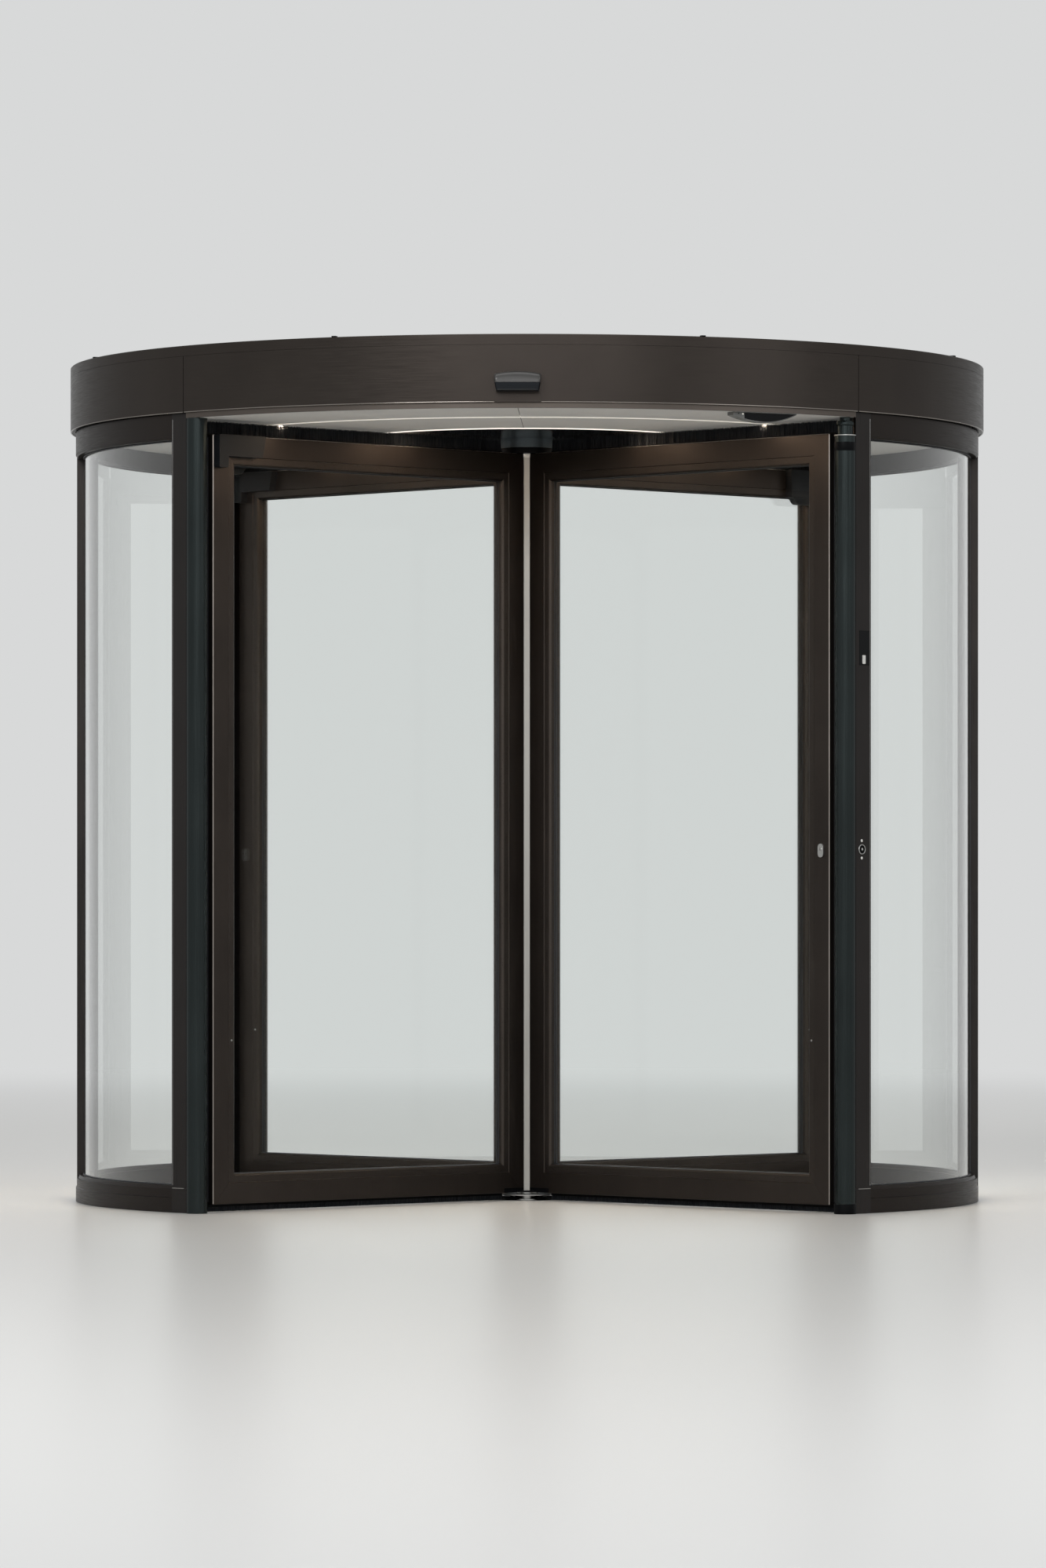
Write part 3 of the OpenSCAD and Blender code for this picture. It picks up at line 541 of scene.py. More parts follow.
def finishMesh(form, name, smoothAngle):
    bmesh.ops.remove_doubles(form, verts=form.verts, dist=0.0005)
    bmesh.ops.recalc_face_normals(form, faces=form.faces)
    bmesh.ops.scale(form, vec=(mm, mm, mm), verts=form.verts)
    for edge in form.edges:
        edge.smooth = len(edge.link_faces) == 2 and edge.calc_face_angle(0) < math.radians(smoothAngle)
    for face in form.faces:
        face.smooth = True
    mesh = bpy.data.meshes.new(name)
    form.to_mesh(mesh)
    form.free()
    return mesh


def addPiece(name, form, finish, body, replaced=(), smoothAngle=30):
    made = bpy.data.objects.new(name, finishMesh(form, name, smoothAngle))
    made.data.materials.clear()
    made.data.materials.append(materials[finish])
    bpy.context.scene.collection.objects.link(made)
    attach(made, body)
    if replaced:
        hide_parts(*replaced)


# Geometry Nodes helpers
def newTree(name, inputs):
    tree = bpy.data.node_groups.new(name, "GeometryNodeTree")
    tree.interface.new_socket("Geometry", in_out="INPUT", socket_type="NodeSocketGeometry")
    for label, kind in inputs.items():
        tree.interface.new_socket(label, in_out="INPUT", socket_type="NodeSocket" + kind)
    tree.interface.new_socket("Geometry", in_out="OUTPUT", socket_type="NodeSocketGeometry")
    return tree, addNode(tree, "NodeGroupInput").outputs


def finishTree(tree, geometry, material):
    real = addNode(tree, "GeometryNodeRealizeInstances", None, {"Geometry": geometry})
    dressed = addNode(tree, "GeometryNodeSetMaterial", None,
                      {"Geometry": real.outputs[0], "Material": material})
    addNode(tree, "NodeGroupOutput", None, {"Geometry": dressed.outputs[0]})


# Runs a tree on a base mesh and makes a piece of the plain result
def growPiece(name, base, tree, values, finish, body, replaced=()):
    carrier = bpy.data.objects.new(name, base)
    bpy.context.scene.collection.objects.link(carrier)
    modifier = carrier.modifiers.new("grow", "NODES")
    modifier.node_group = tree
    values["Material"] = materials[finish]
    for socket in tree.interface.items_tree:
        if socket.in_out == "INPUT" and socket.name in values:
            modifier[socket.identifier] = values[socket.name]
    grown = bpy.data.meshes.new_from_object(carrier.evaluated_get(bpy.context.evaluated_depsgraph_get()))
    carrier.modifiers.remove(modifier)
    bpy.data.objects.remove(carrier)
    form = bmesh.new()
    form.from_mesh(grown)
    bmesh.ops.scale(form, vec=(1 / mm, 1 / mm, 1 / mm), verts=form.verts)
    addPiece(name, form, finish, body, replaced, 40)


def lineMesh(name, paths):  # base for a tree: open or closed runs of points, in millimetres
    points = []
    edges = []
    for path, closed in paths:
        first = len(points)
        points += [Vector(point) * mm for point in path]
        edges += [(first + i, first + i + 1) for i in range(len(path) - 1)]
        if closed:
            edges.append((len(points) - 1, first))
    mesh = bpy.data.meshes.new(name)
    mesh.from_pydata(points, edges, [])
    return mesh


# Gaskets: black EPDM beads that hold the glass, run round every pane on both faces
gaskets = {
    "leafBead": 1.9,
    "wallBead": 2.1,
    "sunk": 0.3,  # into the glass
    "leafGap": 1.0,  # from the frame
    "wallGap": 1.5,
    "sides": 8,
    "arcStep": 1.5,
}


def gasketTree():
    tree, given = newTree("gasketAlongPath", {"Bead Radius": "Float", "Sides": "Int", "Material": "Material"})
    path = addNode(tree, "GeometryNodeMeshToCurve", None, {"Mesh": given["Geometry"]})
    section = addNode(tree, "GeometryNodeCurvePrimitiveCircle", None,
                      {"Resolution": given["Sides"], "Radius": given["Bead Radius"]})
    bead = addNode(tree, "GeometryNodeCurveToMesh", None,
                   {"Curve": path.outputs[0], "Profile Curve": section.outputs[0]})
    finishTree(tree, bead.outputs[0], given["Material"])
    return tree


def leafGasketPaths():
    inset = door["barWidth"] + door["beadWidth"] + gaskets["leafGap"]
    across = door["leafGlass"] / 2 + gaskets["leafBead"] - gaskets["sunk"]
    inner, outer = door["leafIn"] + inset, door["leafOut"] - inset
    low, high = door["leafBottom"] + inset, door["leafTop"] - inset
    return [([leafPoint(leaf, u, side * across, z)
              for u, z in ((inner, low), (outer, low), (outer, high), (inner, high))], True)
            for leaf in range(4) for side in (-1, 1)]


def wallGasketPaths():
    out, gap = gaskets["wallBead"] - gaskets["sunk"], gaskets["wallGap"]
    low, high = door["baseHeight"] + gap, door["clearHeight"] - door["headHeight"] - gap
    end = 90 - door["doorwayDeg"] - math.degrees(math.asin((door["postWidth"] + gap) / door["wallIn"]))
    paths = []
    for middle, side in wallHalves:
        for radius in (door["glassIn"] - out, door["glassOut"] + out):
            start = math.degrees(math.asin((door["jointWidth"] / 2 + gap) / radius))
            steps = round((end - start) / gaskets["arcStep"])
            turns = [start + (end - start) * i / steps for i in range(steps + 1)]
            path = [polar(radius, middle + side * turn, low) for turn in turns]
            path += [polar(radius, middle + side * turn, high) for turn in reversed(turns)]
            paths.append((path, True))
    return paths


def makeGaskets():
    tree = gasketTree()
    for name, paths, bead, body in (("leafGaskets", leafGasketPaths(), "leafBead", "rotor"),
                                    ("wallGaskets", wallGasketPaths(), "wallBead", "drum")):
        growPiece(name, lineMesh(name, paths), tree,
                  {"Bead Radius": gaskets[bead] * mm, "Sides": gaskets["sides"]}, "seal_rubber", body)


makeGaskets()
print("gaskets made")

# Brushes above and below the leaves: nylon bristles on both sides of a fin, in a black carrier
brushes = {
    "rows": (-3.6, -1.6, 1.6, 3.6),
    "spacing": 2.4,
    "thickness": 1.5,  # real bristles are 0.3 mm; drawn this thick so that they show
    "tipShare": 0.6,
    "shortest": 0.94,  # share of the length
    "lean": 3.0,  # degrees
    "spin": 6.28,
    "seed": 3,
    "firstAt": 1.5,
    "outer": 1243.5,
    "carrierOuter": 1237,
    "carrierHalf": 5.4,
    "finHalf": 0.9,
    "corner": 0.8,
    "sets": {
        "top": {"node": "top_brushes", "inner": 107.0, "root": 2161, "length": 36.0, "flip": 0.0,
                "carrier": (2150.6, 2162.0), "fin": (2160.0, 2193.5)},
        "bottom": {"node": "bottom_brushes", "inner": 105.5, "root": 17, "length": 16.0, "flip": math.pi,
                   "carrier": (15.0, 29.6), "fin": (2.5, 16.0)},
    },
}


def bristleTree():
    tree, given = newTree("bristlesOnLine", {
        "Spacing": "Float", "Thickness": "Float", "Length": "Float", "Lean": "Float", "Turn": "Vector",
        "Seed": "Int", "Material": "Material"})
    path = addNode(tree, "GeometryNodeMeshToCurve", None, {"Mesh": given["Geometry"]})
    spaced = addNode(tree, "GeometryNodeResampleCurve", {"mode": "LENGTH"},
                     {"Curve": path.outputs[0], "Length": given["Spacing"]})
    points = addNode(tree, "GeometryNodeCurveToPoints", {"mode": "EVALUATED"}, {"Curve": spaced.outputs[0]})
    thin = addNode(tree, "ShaderNodeMath", {"operation": "MULTIPLY"},
                   {0: given["Thickness"], 1: brushes["tipShare"]})
    bristle = addNode(tree, "GeometryNodeMeshCone", None,
                      {"Vertices": 3, "Radius Top": thin.outputs[0], "Radius Bottom": given["Thickness"],
                       "Depth": given["Length"]})
    back = addNode(tree, "ShaderNodeMath", {"operation": "MULTIPLY"}, {0: given["Lean"], 1: -1.0}).outputs[0]
    least = addNode(tree, "ShaderNodeCombineXYZ", None, {0: back, 1: back, 2: 0.0})
    most = addNode(tree, "ShaderNodeCombineXYZ", None,
                   {0: given["Lean"], 1: given["Lean"], 2: brushes["spin"]})
    lean = addNode(tree, "FunctionNodeRandomValue", {"data_type": "FLOAT_VECTOR"},
                   {0: least.outputs[0], 1: most.outputs[0], "Seed": given["Seed"]})
    turn = addNode(tree, "ShaderNodeVectorMath", {"operation": "ADD"}, {0: lean.outputs[0], 1: given["Turn"]})
    size = addNode(tree, "FunctionNodeRandomValue", {"data_type": "FLOAT"},
                   {2: brushes["shortest"], 3: 1.0, "Seed": given["Seed"]})
    grown = addNode(tree, "GeometryNodeInstanceOnPoints", None,
                    {"Points": points.outputs[0], "Instance": bristle.outputs[0],
                     "Rotation": turn.outputs[0], "Scale": size.outputs[1]})
    finishTree(tree, grown.outputs[0], given["Material"])
    return tree


def addLeafStrip(form, leaf, inner, outer, half, low, high):  # an upright strip along a leaf's middle
    place = onLeaf(leaf, (inner + outer) / 2, half, (low + high) / 2)
    outline = roundedRectangle(outer - inner, high - low, brushes["corner"], 2)
    addPlate(form, outline, 2 * half, place @ Matrix.Translation((0, 0, -2 * half)))


def makeBrushes():
    tree = bristleTree()
    outer = brushes["outer"]
    for index, (name, size) in enumerate(brushes["sets"].items()):
        inner = size["inner"]
        ends = (inner + brushes["firstAt"], outer)
        paths = [([leafPoint(leaf, along, row, size["root"]) for along in ends], False)
                 for leaf in range(4) for row in brushes["rows"]]
        growPiece(name + "Bristles", lineMesh(name + "Bristles", paths), tree, {
            "Spacing": brushes["spacing"] * mm, "Thickness": brushes["thickness"] / 2 * mm,
            "Length": size["length"] * mm, "Lean": math.radians(brushes["lean"]),
            "Turn": (size["flip"], 0, 0), "Seed": index + brushes["seed"]}, "brush", "rotor", (size["node"],))
        carrier = bmesh.new()
        fin = bmesh.new()
        for leaf in range(4):
            addLeafStrip(carrier, leaf, inner, brushes["carrierOuter"], brushes["carrierHalf"],
                         *size["carrier"])
            addLeafStrip(fin, leaf, inner, outer, brushes["finHalf"], *size["fin"])
        addPiece(name + "BrushCarriers", carrier, "pivot_black", "rotor")
        addPiece(name + "BrushFins", fin, "brush", "rotor")


makeBrushes()
print("brushes made")

# Bright arrises of the leaves' outer and top edges: strips far paler than the leaf bars, a painted highlight
arris = {
    "section": [(-1.8, -0.5), (-1.6, 0.12), (0.12, -1.6), (-0.5, -1.8)],  # from the edge and from the face
    "upright": (24, 2156),
    "level": (60, 1231),
}


def makeLeafArrises():
    form = bmesh.new()
    face = door["leafThickness"] / 2
    for leaf in range(4):
        for side in (-1, 1):
            section = [(a, side * (face + b)) for a, b in arris["section"]]
            addSkin(form, [[leafPoint(leaf, door["leafOut"] + a, v, z) for a, v in section]
                           for z in arris["upright"]])
            addSkin(form, [[leafPoint(leaf, u, v, door["leafTop"] + a) for a, v in section]
                           for u in arris["level"]])
    addPiece("leafArrises", form, "arrisPaintedHighlight", "rotor")


makeLeafArrises()

# Caps on the upper ends of the column's four silver faces
columnCap = {"face": 44.15, "width": 20, "height": 11, "thickness": 2.0, "corner": 1.2, "ease": 0.5}


def makeColumnCaps():
    form = bmesh.new()
    middle = door["leafTop"] - columnCap["height"] / 2
    outline = roundedRectangle(columnCap["width"], columnCap["height"], columnCap["corner"], 4)
    for azimuth in (-90, 0, 90, 180):
        addPlate(form, outline, columnCap["thickness"], onDrum(columnCap["face"], azimuth, middle),
                 columnCap["ease"])
    addPiece("columnCaps", form, "stainless", "rotor")


makeColumnCaps()

# Curved panes of the drum, with eased edges
pane = {"low": 60.3, "high": 2158.7, "from": 0.285, "to": 42.43, "ease": 0.8, "steps": 70}


def makeWallPanes():
    form = bmesh.new()
    inner, outer, ease = door["glassIn"], door["glassOut"], pane["ease"]
    low, high = pane["low"], pane["high"]
    profile = [(inner + ease, low), (outer - ease, low), (outer, low + ease), (outer, high - ease),
               (outer - ease, high), (inner + ease, high), (inner, high - ease), (inner, low + ease)]
    for middle, side in wallHalves:
        ends = sorted((middle + side * pane["from"], middle + side * pane["to"]))
        addSweep(form, profile, *ends, pane["steps"])
    addPiece("wallPanes", form, "wall_glass", "drum",
             ("wall_glass_left_front", "wall_glass_left_back", "wall_glass_right_front",
              "wall_glass_right_back"))


makeWallPanes()
print("arrises, caps and panes made")

# Outer seals: a rubber profile with two fins that sweep the curved walls
seals = {
    "half": [(1224.5, 5.5), (1233.5, 5.5), (1247.5, 7.6), (1248.3, 6.6), (1236.5, 2.2)],
    "middle": (1235.0, 0),
    "upright": (30, 2150),
}


def makeSeals():
    form = bmesh.new()
    outline = [(u, -v) for u, v in seals["half"]] + [seals["middle"]] + seals["half"][::-1]
    for leaf in range(4):
        addSkin(form, [[leafPoint(leaf, u, v, z) for u, v in outline] for z in seals["upright"]])
    addPiece("sealFins", form, "seal_rubber", "rotor", ("outer_seals",))


makeSeals()
print("seals made")

# Motion sensors: a hood with an arched, rounded top, a tinted window, a black sill and a flat bronze cover
motion = {
    "radius": 1320.3,
    "foot": 2244.0,
    "half": 63.6,
    "footHalf": 58.0,
    "widestAt": 30.0,
    "arch": 7.0,
    "archFrom": 26,
    "archOver": 28,
    "cornerRadius": 7.0,
    "cornerDepth": 20,
    "steps": 40,
    "stepPower": 0.75,  # closer steps towards the ends
    "roofCentre": (16, 24),
    "roofReach": (27.2, 29.7),
    "roofSquareness": 0.85,
    "roofSteps": 10,
    "hoodFoot": [(43.2, 22.4), (42.6, 21.8), (-7.5, 21.8), (-7.5, 50)],
    "window": [(-7.5, 21.7), (42.4, 21.7), (42.9, 21.1), (42.3, 12), (40.8, 4.7), (-7.5, 4.7)],
    "sill": [(-7.5, 4.6), (41.4, 4.6), (42.2, 4.0), (42.2, 1.2), (41.2, 0.1), (-7.5, 0.1)],
    "cover": {"width": 126, "low": 2215.4, "high": 2244.2, "thickness": 1.9, "sunk": 6, "corner": 3,
              "ease": 0.4},
}


def addMotionSection(form, section, azimuth):  # lofts a side section across the sensor's width
    place = onDrum(motion["radius"], azimuth, motion["foot"])
    wide, narrow, corner = motion["half"], motion["footHalf"], motion["cornerRadius"]
    rings = []
    for i in range(motion["steps"] + 1):
        part = -1 + 2 * i / motion["steps"]
        share = math.copysign(abs(part) ** motion["stepPower"], part)
        fall = max(0.0, abs(share) * wide - wide + corner)
        inward = corner - math.sqrt(max(0.0, corner ** 2 - fall ** 2))
        drop = motion["arch"] * share * share
        ring = []
        for depth, height in section:
            half = narrow + (wide - narrow) * min(1.0, height / motion["widestAt"])
            lowered = height - drop * max(0.0, height - motion["archFrom"]) / motion["archOver"]
            out = depth - inward * max(0.0, min(1.0, depth / motion["cornerDepth"]))
            ring.append(place @ Vector((share * half, lowered, out)))
        rings.append(ring)
    addSkin(form, rings)


def hoodSection():  # the hood's rounded roof, then its foot
    (cx, cy), (rx, ry) = motion["roofCentre"], motion["roofReach"]
    power, steps = motion["roofSquareness"], motion["roofSteps"]
    turns = [math.radians(90 * i / steps) for i in range(steps + 1)]
    roof = [(cx + rx * math.sin(turn) ** power, cy + ry * max(0.0, math.cos(turn)) ** power)
            for turn in turns]
    return roof + motion["hoodFoot"]


def makeMotionSensors():
    hood, sill, window, plate = [bmesh.new() for part in range(4)]
    cover = motion["cover"]
    outline = roundedRectangle(cover["width"], cover["high"] - cover["low"], cover["corner"])
    for azimuth in (-90, 90):
        addMotionSection(hood, hoodSection(), azimuth)
        addMotionSection(sill, motion["sill"], azimuth)
        addMotionSection(window, motion["window"], azimuth)
        place = onDrum(motion["radius"] - cover["sunk"], azimuth, (cover["low"] + cover["high"]) / 2)
        addPlate(plate, outline, cover["sunk"] + cover["thickness"], place, cover["ease"])
    addPiece("motionHoods", hood, "sensor_housing", "drum",
             ("motion_sensor_front", "motion_sensor_back"))
    addPiece("motionSills", sill, "leafHousing", "drum")
    addPiece("motionWindows", window, "tintedWindow", "drum")
    addPiece("motionCovers", plate, "bronze_sheet", "drum")


# Presence sensors: a grey rim round a domed black window, with a black screw and a small lens at one end; the
# screw's black is painted shade for a screw hole, and the lens's faint glow a painted glint
presence = {
    "azimuths": (-58.7, 121.3),
    "top": 2199.7,
    "width": 206,
    "height": 27,
    "leftEnd": 9,
    "rightEnd": 2,
    "least": 0.1,
    "steps": 40,
    "back": 1266,
    "face": 1294.8,
    "recess": 1292.2,
    "rim": {"inset": 2.6, "ends": (-66, 98), "ease": 1.2, "flare": 0.4},
    "window": {"inset": 3.1, "ends": (-65.5, 97), "lift": 0.05, "rise": 2.4, "ease": 1.0},
    "sunk": 0.6,
    "screwAt": (-85, -4.0),
    "screw": [(0.05, 0), (1.7, 0), (1.7, 0.9), (1.1, 1.2), (0.05, 0.7)],
    "lensAt": (-71.5, -5.0),
    "lens": [(0.05, 0), (2.4, 0), (2.4, 0.7), (1.44, 1.4), (0.05, 1.7)],
}


def presenceOutline(inset, left, right):  # flat along the ceiling, a bow below, blunter at left
    half, height, steps = presence["width"] / 2, presence["height"], presence["steps"]
    outline = [(right, -inset / 2), (left, -inset / 2)]
    for i in range(steps):
        x = left + (right - left) * i / (steps - 1)
        end = presence["leftEnd"] if x < 0 else presence["rightEnd"]
        y = (height - end) * (x / half) ** 2 - height + inset
        outline.append((x, min(y, -inset / 2 - presence["least"])))
    return outline


def addRim(form, place, outer, inner):  # a ring front with its outer and inner sides
    depth, ease = presence["face"] - presence["back"], presence["rim"]["ease"]
    loops = [(outer, 0.0, 0.0), (outer, depth - ease, 0.0), (outer, depth, ease),
             (inner, depth, -presence["rim"]["flare"]), (inner, presence["recess"] - presence["back"], 0.0)]
    rings = []
    for outline, height, shrink in loops:
        cx = sum(x for x, y in outline) / len(outline)
        cy = sum(y for x, y in outline) / len(outline)
        ring = []
        for x, y in outline:
            away = Vector((x - cx, y - cy))
            away.length = max(0.0, away.length - shrink)
            ring.append(place @ Vector((cx + away.x, cy + away.y, height)))
        rings.append(ring)
    addSkin(form, rings)


def makePresenceSensors():
    rims, windows, lenses, heads = [bmesh.new() for part in range(4)]
    half, rim, window = presence["width"] / 2, presence["rim"], presence["window"]
    outer = presenceOutline(0, -half, half)
    inner = presenceOutline(rim["inset"], *rim["ends"])
    domed = presenceOutline(window["inset"], *window["ends"])
    for azimuth in presence["azimuths"]:
        addRim(rims, onDrum(presence["back"], azimuth, presence["top"]), outer, inner)
        recess = onDrum(presence["recess"] + window["lift"], azimuth, presence["top"])
        addPlate(windows, domed, window["rise"], recess, window["ease"])
        front = onDrum(presence["face"], azimuth, presence["top"])
        for form, kind in ((heads, "screw"), (lenses, "lens")):
            spot = Matrix.Translation((*presence[kind + "At"], -presence["sunk"]))
            addLathe(form, presence[kind], front @ spot, 20)
    addPiece("presenceRims", rims, "rimPlastic", "drum",
             ("presence_sensor_front", "presence_sensor_back"))
    addPiece("presenceWindows", windows, "blackWindow", "drum")
    # black screw heads: painted shade for dark screw holes
    addPiece("presenceScrews", heads, "pivot_black", "drum")
    # the lenses' faint glow is a painted glint
    addPiece("presenceLenses", lenses, "lensPaintedGlint", "drum")


makeMotionSensors()
makePresenceSensors()
print("sensors detailed")

# Rolled lip along the fascia's lower edge, in a far paler bronze than the fascia: a painted highlight line,
# which the lamps brighten further
lips = {"radius": 1318.0, "height": 2216.5, "size": 1.9, "half": 44.9, "break": 2.78, "steps": 40,
        "sides": 12}


def makeFasciaLips():
    form = bmesh.new()
    profile = [(lips["radius"] + x, lips["height"] + y)
               for x, y in circleOutline(lips["size"], lips["sides"])]
    half = lips["half"]
    for middle in (0, 180):
        addSweep(form, profile, middle - half, middle + half, 2 * lips["steps"])
    for middle in (-90, 90):  # broken where the motion sensors' covers reach down
        addSweep(form, profile, middle - half, middle - lips["break"], lips["steps"])
        addSweep(form, profile, middle + lips["break"], middle + half, lips["steps"])
    addPiece("fasciaLips", form, "lipPaintedHighlight", "drum", (), 50)


makeFasciaLips()
print("fascia lips made")

# Joints of the middle ceiling, in line with the outer ceiling's
ceilingJoint = {"width": 1.4, "from": 515, "to": 954, "proud": 0.3, "corner": 0.3}


def makeCeilingJoints():
    form = bmesh.new()
    length, proud = ceilingJoint["to"] - ceilingJoint["from"], ceilingJoint["proud"]
    outline = roundedRectangle(ceilingJoint["width"], length, ceilingJoint["corner"], 2)
    for side in (-1, 1):
        middle = side * (ceilingJoint["from"] + length / 2)
        addPlate(form, outline, 2 * proud, Matrix.Translation((0, middle, door["clearHeight"] - proud)))
    addPiece("ceilingJoints", form, "seal_rubber", "drum")


makeCeilingJoints()

# Controls on the right front post: black plate with a pale rocker, push button and two status lenses
controls = {
    "plateShare": 0.58,  # places across the post, as shares of its width
    "buttonShare": 0.4,
    "plate": {"size": (40, 95, 2), "thickness": 2.0, "height": 1564, "ease": 0.5},
    "switch": {"size": (12, 24, 1.2, 4), "thickness": 1.8, "height": 1532, "sideways": -2, "lift": 0.05,
               "ease": 0.4},
    "rocker": {"size": (10.4, 10, 0.8, 4), "thickness": 2.8, "above": 6, "ease": 0.8},
    "buttonHeight": 1007,
    "ring": [(11.6, 0.2), (14, 0.2), (14, 1.8), (13.2, 2.8), (12.2, 2.8), (11.6, 2.2)],
    "face": {"radius": 11.8, "thickness": 1.2},
    "collar": [(3.4, 0.5), (7.6, 0.5), (7.6, 2.4), (6.9, 3.0), (3.4, 2.6)],
    "core": [(0.05, 0.5), (3.3, 0.5), (3.3, 2.7), (2.6, 3.1), (0.05, 3.1)],
    "lensOffset": 24,
    "lens": [(0.05, 0.1), (4, 0.1), (4, 0.7), (2.6, 1.5), (0.05, 1.8)],
}


def onPost(share, out, height):  # on the right front post's outer face
    azimuth = -90 + door["doorwayDeg"] + math.degrees(math.asin(share * door["postWidth"] / door["wallOut"]))
    return onDrum(door["wallOut"] + out, azimuth, height)


def makeControls():
    metal, dark, light, back = [bmesh.new() for part in range(4)]
    plate, switch, rocker, face = [controls[key] for key in ("plate", "switch", "rocker", "face")]
    place = onPost(controls["plateShare"], -plate["thickness"], plate["height"])
    addPlate(back, roundedRectangle(*plate["size"]), plate["thickness"], place, plate["ease"])
    place = onPost(controls["plateShare"], switch["lift"], switch["height"])
    place = place @ Matrix.Translation((switch["sideways"], 0, 0))
    addPlate(light, roundedRectangle(*switch["size"]), switch["thickness"], place, switch["ease"])
    place = place @ Matrix.Translation((0, rocker["above"], 0))
    addPlate(light, roundedRectangle(*rocker["size"]), rocker["thickness"], place, rocker["ease"])
    button = onPost(controls["buttonShare"], 0, controls["buttonHeight"])
    addLathe(metal, controls["ring"], button, 56)
    addPlate(dark, circleOutline(face["radius"]), face["thickness"], button)
    addLathe(dark, controls["collar"], button, 48)
    addLathe(metal, controls["core"], button, 32)
    for side in (-1, 1):
        addLathe(light, controls["lens"],
                 button @ Matrix.Translation((0, side * controls["lensOffset"], 0)), 28)
    addPiece("controlPlate", back, "blackWindow", "drum", ("post_controls",))
    addPiece("controlMetal", metal, "stainless", "drum")
    addPiece("controlInlays", dark, "pivot_black", "drum")
    addPiece("controlLenses", light, "paleSwitch", "drum")


makeControls()
print("controls made")

# Lock on the front right leaf: a key cylinder in the oval cover; its keyway is a black plate on the
# cylinder's face, painted shade for the slot
lock = {
    "leaf": 1,
    "along": 1202,
    "face": -29.25,
    "height": 1007,
    "cylinder": [(0.05, 0), (6.5, 0), (6.5, 0.9), (5.8, 1.5), (0.05, 1.5)],
    "keyway": {"size": (1.5, 7.6, 0.7, 3), "depth": 1.65},
}


def makeLock():
    cylinder = bmesh.new()
    keyway = bmesh.new()
    place = onLeaf(lock["leaf"], lock["along"], lock["face"], lock["height"])
    addLathe(cylinder, lock["cylinder"], place, 36)
    # the keyway plate is black: painted shade for the slot
    addPlate(keyway, roundedRectangle(*lock["keyway"]["size"]), lock["keyway"]["depth"], place)
    addPiece("lockCylinder", cylinder, "stainless", "rotor")
    addPiece("lockKeyway", keyway, "pivot_black", "rotor")


makeLock()
print("lock detailed")

# Turned finger guards: a polished ring near the top, a black sleeve under it and a black foot collar
guards = {
    "radius": 1288,
    "azimuths": (-45.91, 134.09),
    "ring": [(29.0, 2148.7), (30.3, 2148.7), (30.65, 2149.3), (30.65, 2150.7), (30.3, 2151.3),
             (29.0, 2151.3)],
    "collar": [(30.3, 0.2), (30.72, 0.2), (30.72, 26.8), (30.3, 28.3)],
    "sleeve": [(28.7, 2107), (29.15, 2107), (29.35, 2107.5), (29.35, 2130.5), (29.15, 2131), (28.7, 2131)],
    "steps": 64,
}


def makeGuardTrims():
    rings = bmesh.new()
    collars = bmesh.new()
    for azimuth in guards["azimuths"]:
        place = Matrix.Translation(polar(guards["radius"], azimuth))
        for form, kind in ((rings, "ring"), (collars, "collar"), (collars, "sleeve")):
            addLathe(form, guards[kind], place, guards["steps"])
    addPiece("guardRings", rings, "polishedRing", "drum")
    addPiece("guardCollars", collars, "pivot_black", "drum")


makeGuardTrims()

# Thin bright beads down the posts' outer corners, beside the curved glass
postBeads = {"radius": 1304.3, "bead": 0.9, "inset": 0.6, "low": 76, "high": 2199, "sides": 12}


def makePostBeads():
    form = bmesh.new()
    bead, low, high = postBeads["bead"], postBeads["low"], postBeads["high"]
    across = math.asin((door["postWidth"] - postBeads["inset"]) / postBeads["radius"])
    offset = 90 - door["doorwayDeg"] - math.degrees(across)
    for middle, side in wallHalves:
        place = Matrix.Translation(polar(postBeads["radius"], middle + side * offset))
        addLathe(form, [(0.05, low), (bead, low), (bead, high), (0.05, high)], place, postBeads["sides"])
    addPiece("postBeads", form, "stainless", "drum")


makePostBeads()

# Pale strips in the posts' grooves, in line with the base rails' ledge: natural anodised, and pale so as to
# carry the lit ledge's line onto the posts, a painted highlight
ledge = {"low": 67.15, "high": 68.85, "inner": 1303.7, "outer": 1304.7, "from": 42.1, "to": 44.3, "steps": 6}


def makeLedgeStrips():
    form = bmesh.new()
    inner, outer, low, high = [ledge[key] for key in ("inner", "outer", "low", "high")]
    profile = [(inner, low), (outer, low), (outer, high), (inner, high)]
    for middle, side in wallHalves:
        addSweep(form, profile, middle + side * ledge["from"], middle + side * ledge["to"], ledge["steps"])
    # the strips' pale tone is partly a painted highlight line
    addPiece("ledgeStrips", form, "silver_anodised", "drum")


makeLedgeStrips()
print("guard trims made")

# Screws: button heads with a hexagon socket
screws = {
    "topShare": 0.78,
    "socketShare": 0.46,
    "spin": 1.05,  # at most: a sixth of a turn, after which the socket looks the same
    "seed": 11,
    "roof": {"radius": 1288, "count": 24, "top": 2383.3, "seamOffset": 16, "seamReach": 1150,
             "seamStep": 230},
    "covers": {"radius": 58.0, "top": 10.0, "turn": 40},
    "beads": {"height": 477, "inset": 2, "face": 23.4},
    "heads": {"roof": (5.5, 3.2), "covers": (3.6, 1.6), "beads": (3.0, 1.2)},  # radius and height
}


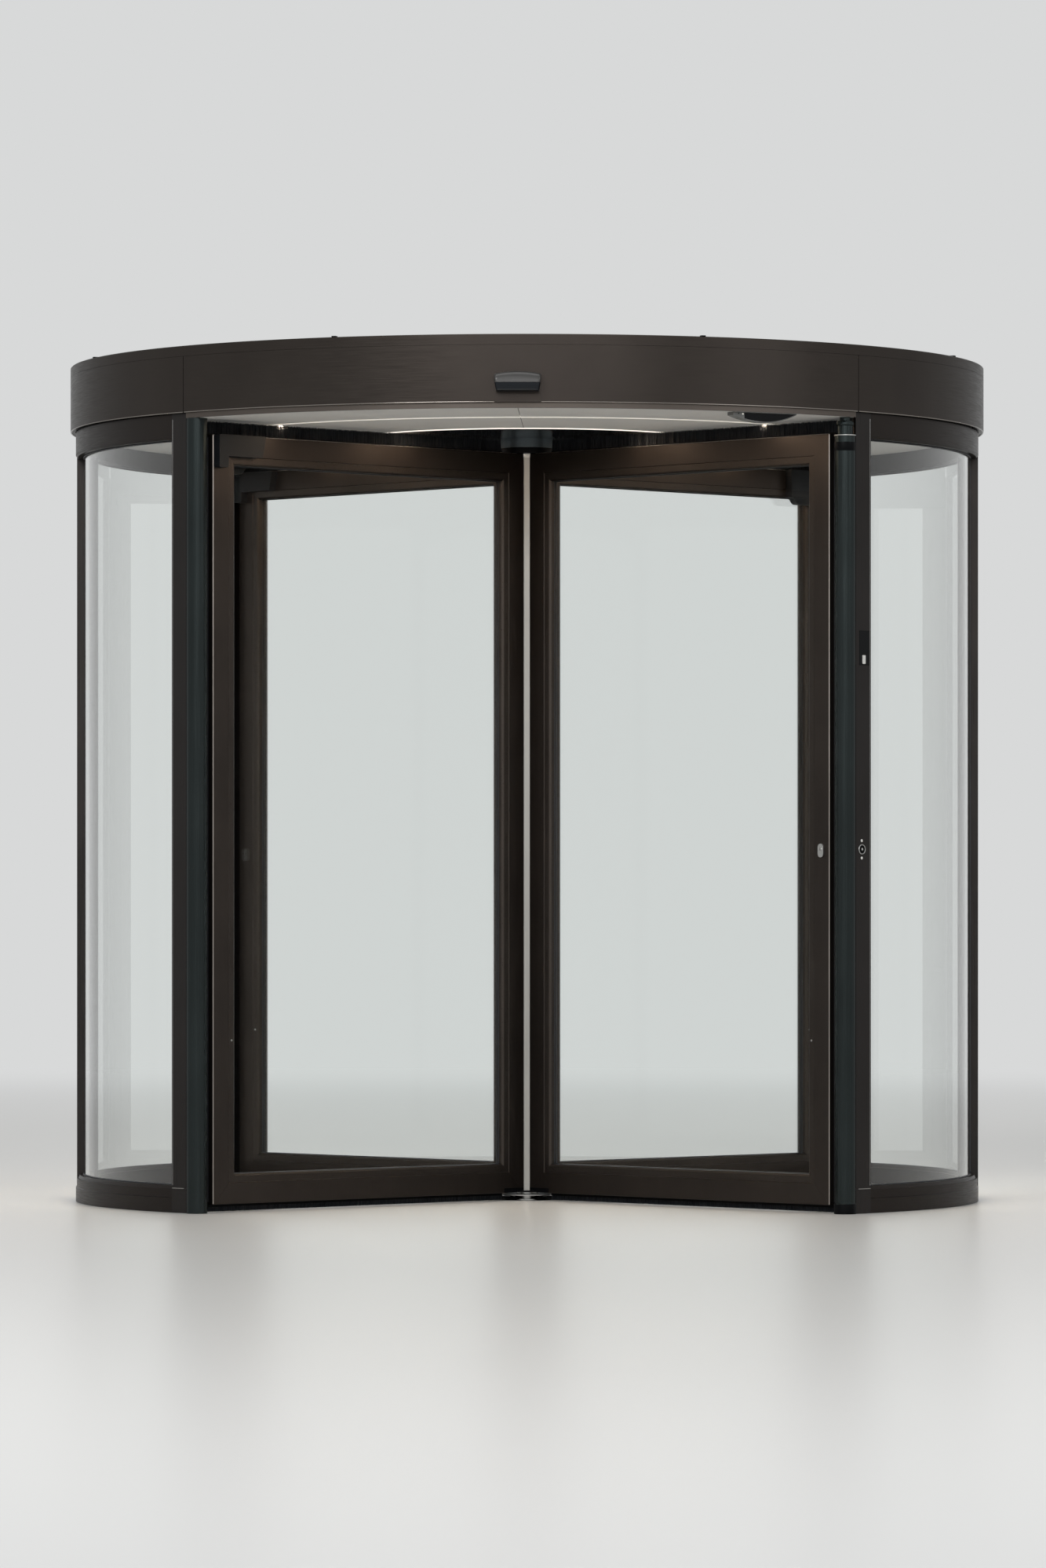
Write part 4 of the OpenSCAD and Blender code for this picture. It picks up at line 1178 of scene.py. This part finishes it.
def screwTree():
    tree, given = newTree("socketScrews", {"Head Radius": "Float", "Head Height": "Float", "Seed": "Int",
                                           "Material": "Material"})
    top = addNode(tree, "ShaderNodeMath", {"operation": "MULTIPLY"},
                  {0: given["Head Radius"], 1: screws["topShare"]})
    head = addNode(tree, "GeometryNodeMeshCone", None,
                   {"Vertices": 20, "Radius Top": top.outputs[0], "Radius Bottom": given["Head Radius"],
                    "Depth": given["Head Height"]})
    wide = addNode(tree, "ShaderNodeMath", {"operation": "MULTIPLY"},
                   {0: given["Head Radius"], 1: screws["socketShare"]})
    socket = addNode(tree, "GeometryNodeMeshCylinder", None,
                     {"Vertices": 6, "Radius": wide.outputs[0], "Depth": given["Head Height"]})
    up = addNode(tree, "ShaderNodeCombineXYZ", None, {2: given["Head Height"]})
    raised = addNode(tree, "GeometryNodeTransform", None,
                     {"Geometry": socket.outputs[0], "Translation": up.outputs[0]})
    cut = addNode(tree, "GeometryNodeMeshBoolean", {"operation": "DIFFERENCE", "solver": "EXACT"},
                  {"Mesh 1": head.outputs[0], "Mesh 2": raised.outputs[0]})
    facing = addNode(tree, "GeometryNodeInputNamedAttribute", {"data_type": "FLOAT_VECTOR"},
                     {"Name": "facing"})
    aligned = addNode(tree, "FunctionNodeAlignRotationToVector", {"axis": "Z"},
                      {"Vector": facing.outputs[0]})
    spin = addNode(tree, "FunctionNodeRandomValue", {"data_type": "FLOAT_VECTOR"},
                   {0: (0, 0, 0), 1: (0, 0, screws["spin"]), "Seed": given["Seed"]})
    turned = addNode(tree, "FunctionNodeRotateRotation", {"rotation_space": "LOCAL"},
                     {"Rotation": aligned.outputs[0], "Rotate By": spin.outputs[0]})
    placed = addNode(tree, "GeometryNodeInstanceOnPoints", None,
                     {"Points": given["Geometry"], "Instance": cut.outputs[0], "Rotation": turned.outputs[0]})
    finishTree(tree, placed.outputs[0], given["Material"])
    return tree


def pointMesh(name, spots):  # base for the screws: points, each with the way that it faces
    mesh = bpy.data.meshes.new(name)
    mesh.from_pydata([Vector(place) * mm for place, facing in spots], [], [])
    layer = mesh.attributes.new("facing", "FLOAT_VECTOR", "POINT")
    for item, (place, facing) in zip(layer.data, spots):
        item.vector = facing
    return mesh


def makeScrews():
    tree = screwTree()
    up = Vector((0, 0, 1))
    roof, cover, bead = screws["roof"], screws["covers"], screws["beads"]
    seam = range(-roof["seamReach"], roof["seamReach"] + 1, roof["seamStep"])
    roofSpots = [(polar(roof["radius"], 360 * (i + 0.5) / roof["count"], roof["top"]), up)
                 for i in range(roof["count"])]
    roofSpots += [(Vector((side * roof["seamOffset"], y, roof["top"])), up) for side in (-1, 1) for y in seam]
    coverSpots = [(polar(cover["radius"], side + turn, cover["top"]), up)
                  for side in (0, 180) for turn in (-cover["turn"], cover["turn"])]
    along = door["leafOut"] - (door["barWidth"] + door["beadWidth"] / 2 - bead["inset"])
    beadSpots = [(leafPoint(leaf, along, side * bead["face"], bead["height"]),
                  side * polar(1, leafAngles[leaf] + 90)) for leaf in range(4) for side in (-1, 1)]
    groups = (("roofScrews", roofSpots, "roof", "drum", "stainless"),
              ("coverScrews", coverSpots, "covers", "drum", "pivot_black"),
              ("beadScrews", beadSpots, "beads", "rotor", "stainless"))
    for index, (name, spots, kind, body, finish) in enumerate(groups):
        radius, height = screws["heads"][kind]
        growPiece(name, pointMesh(name, spots), tree,
                  {"Head Radius": radius * mm, "Head Height": height * mm, "Seed": index + screws["seed"]},
                  finish, body)


makeScrews()
print("screws made")

print("scene finished")
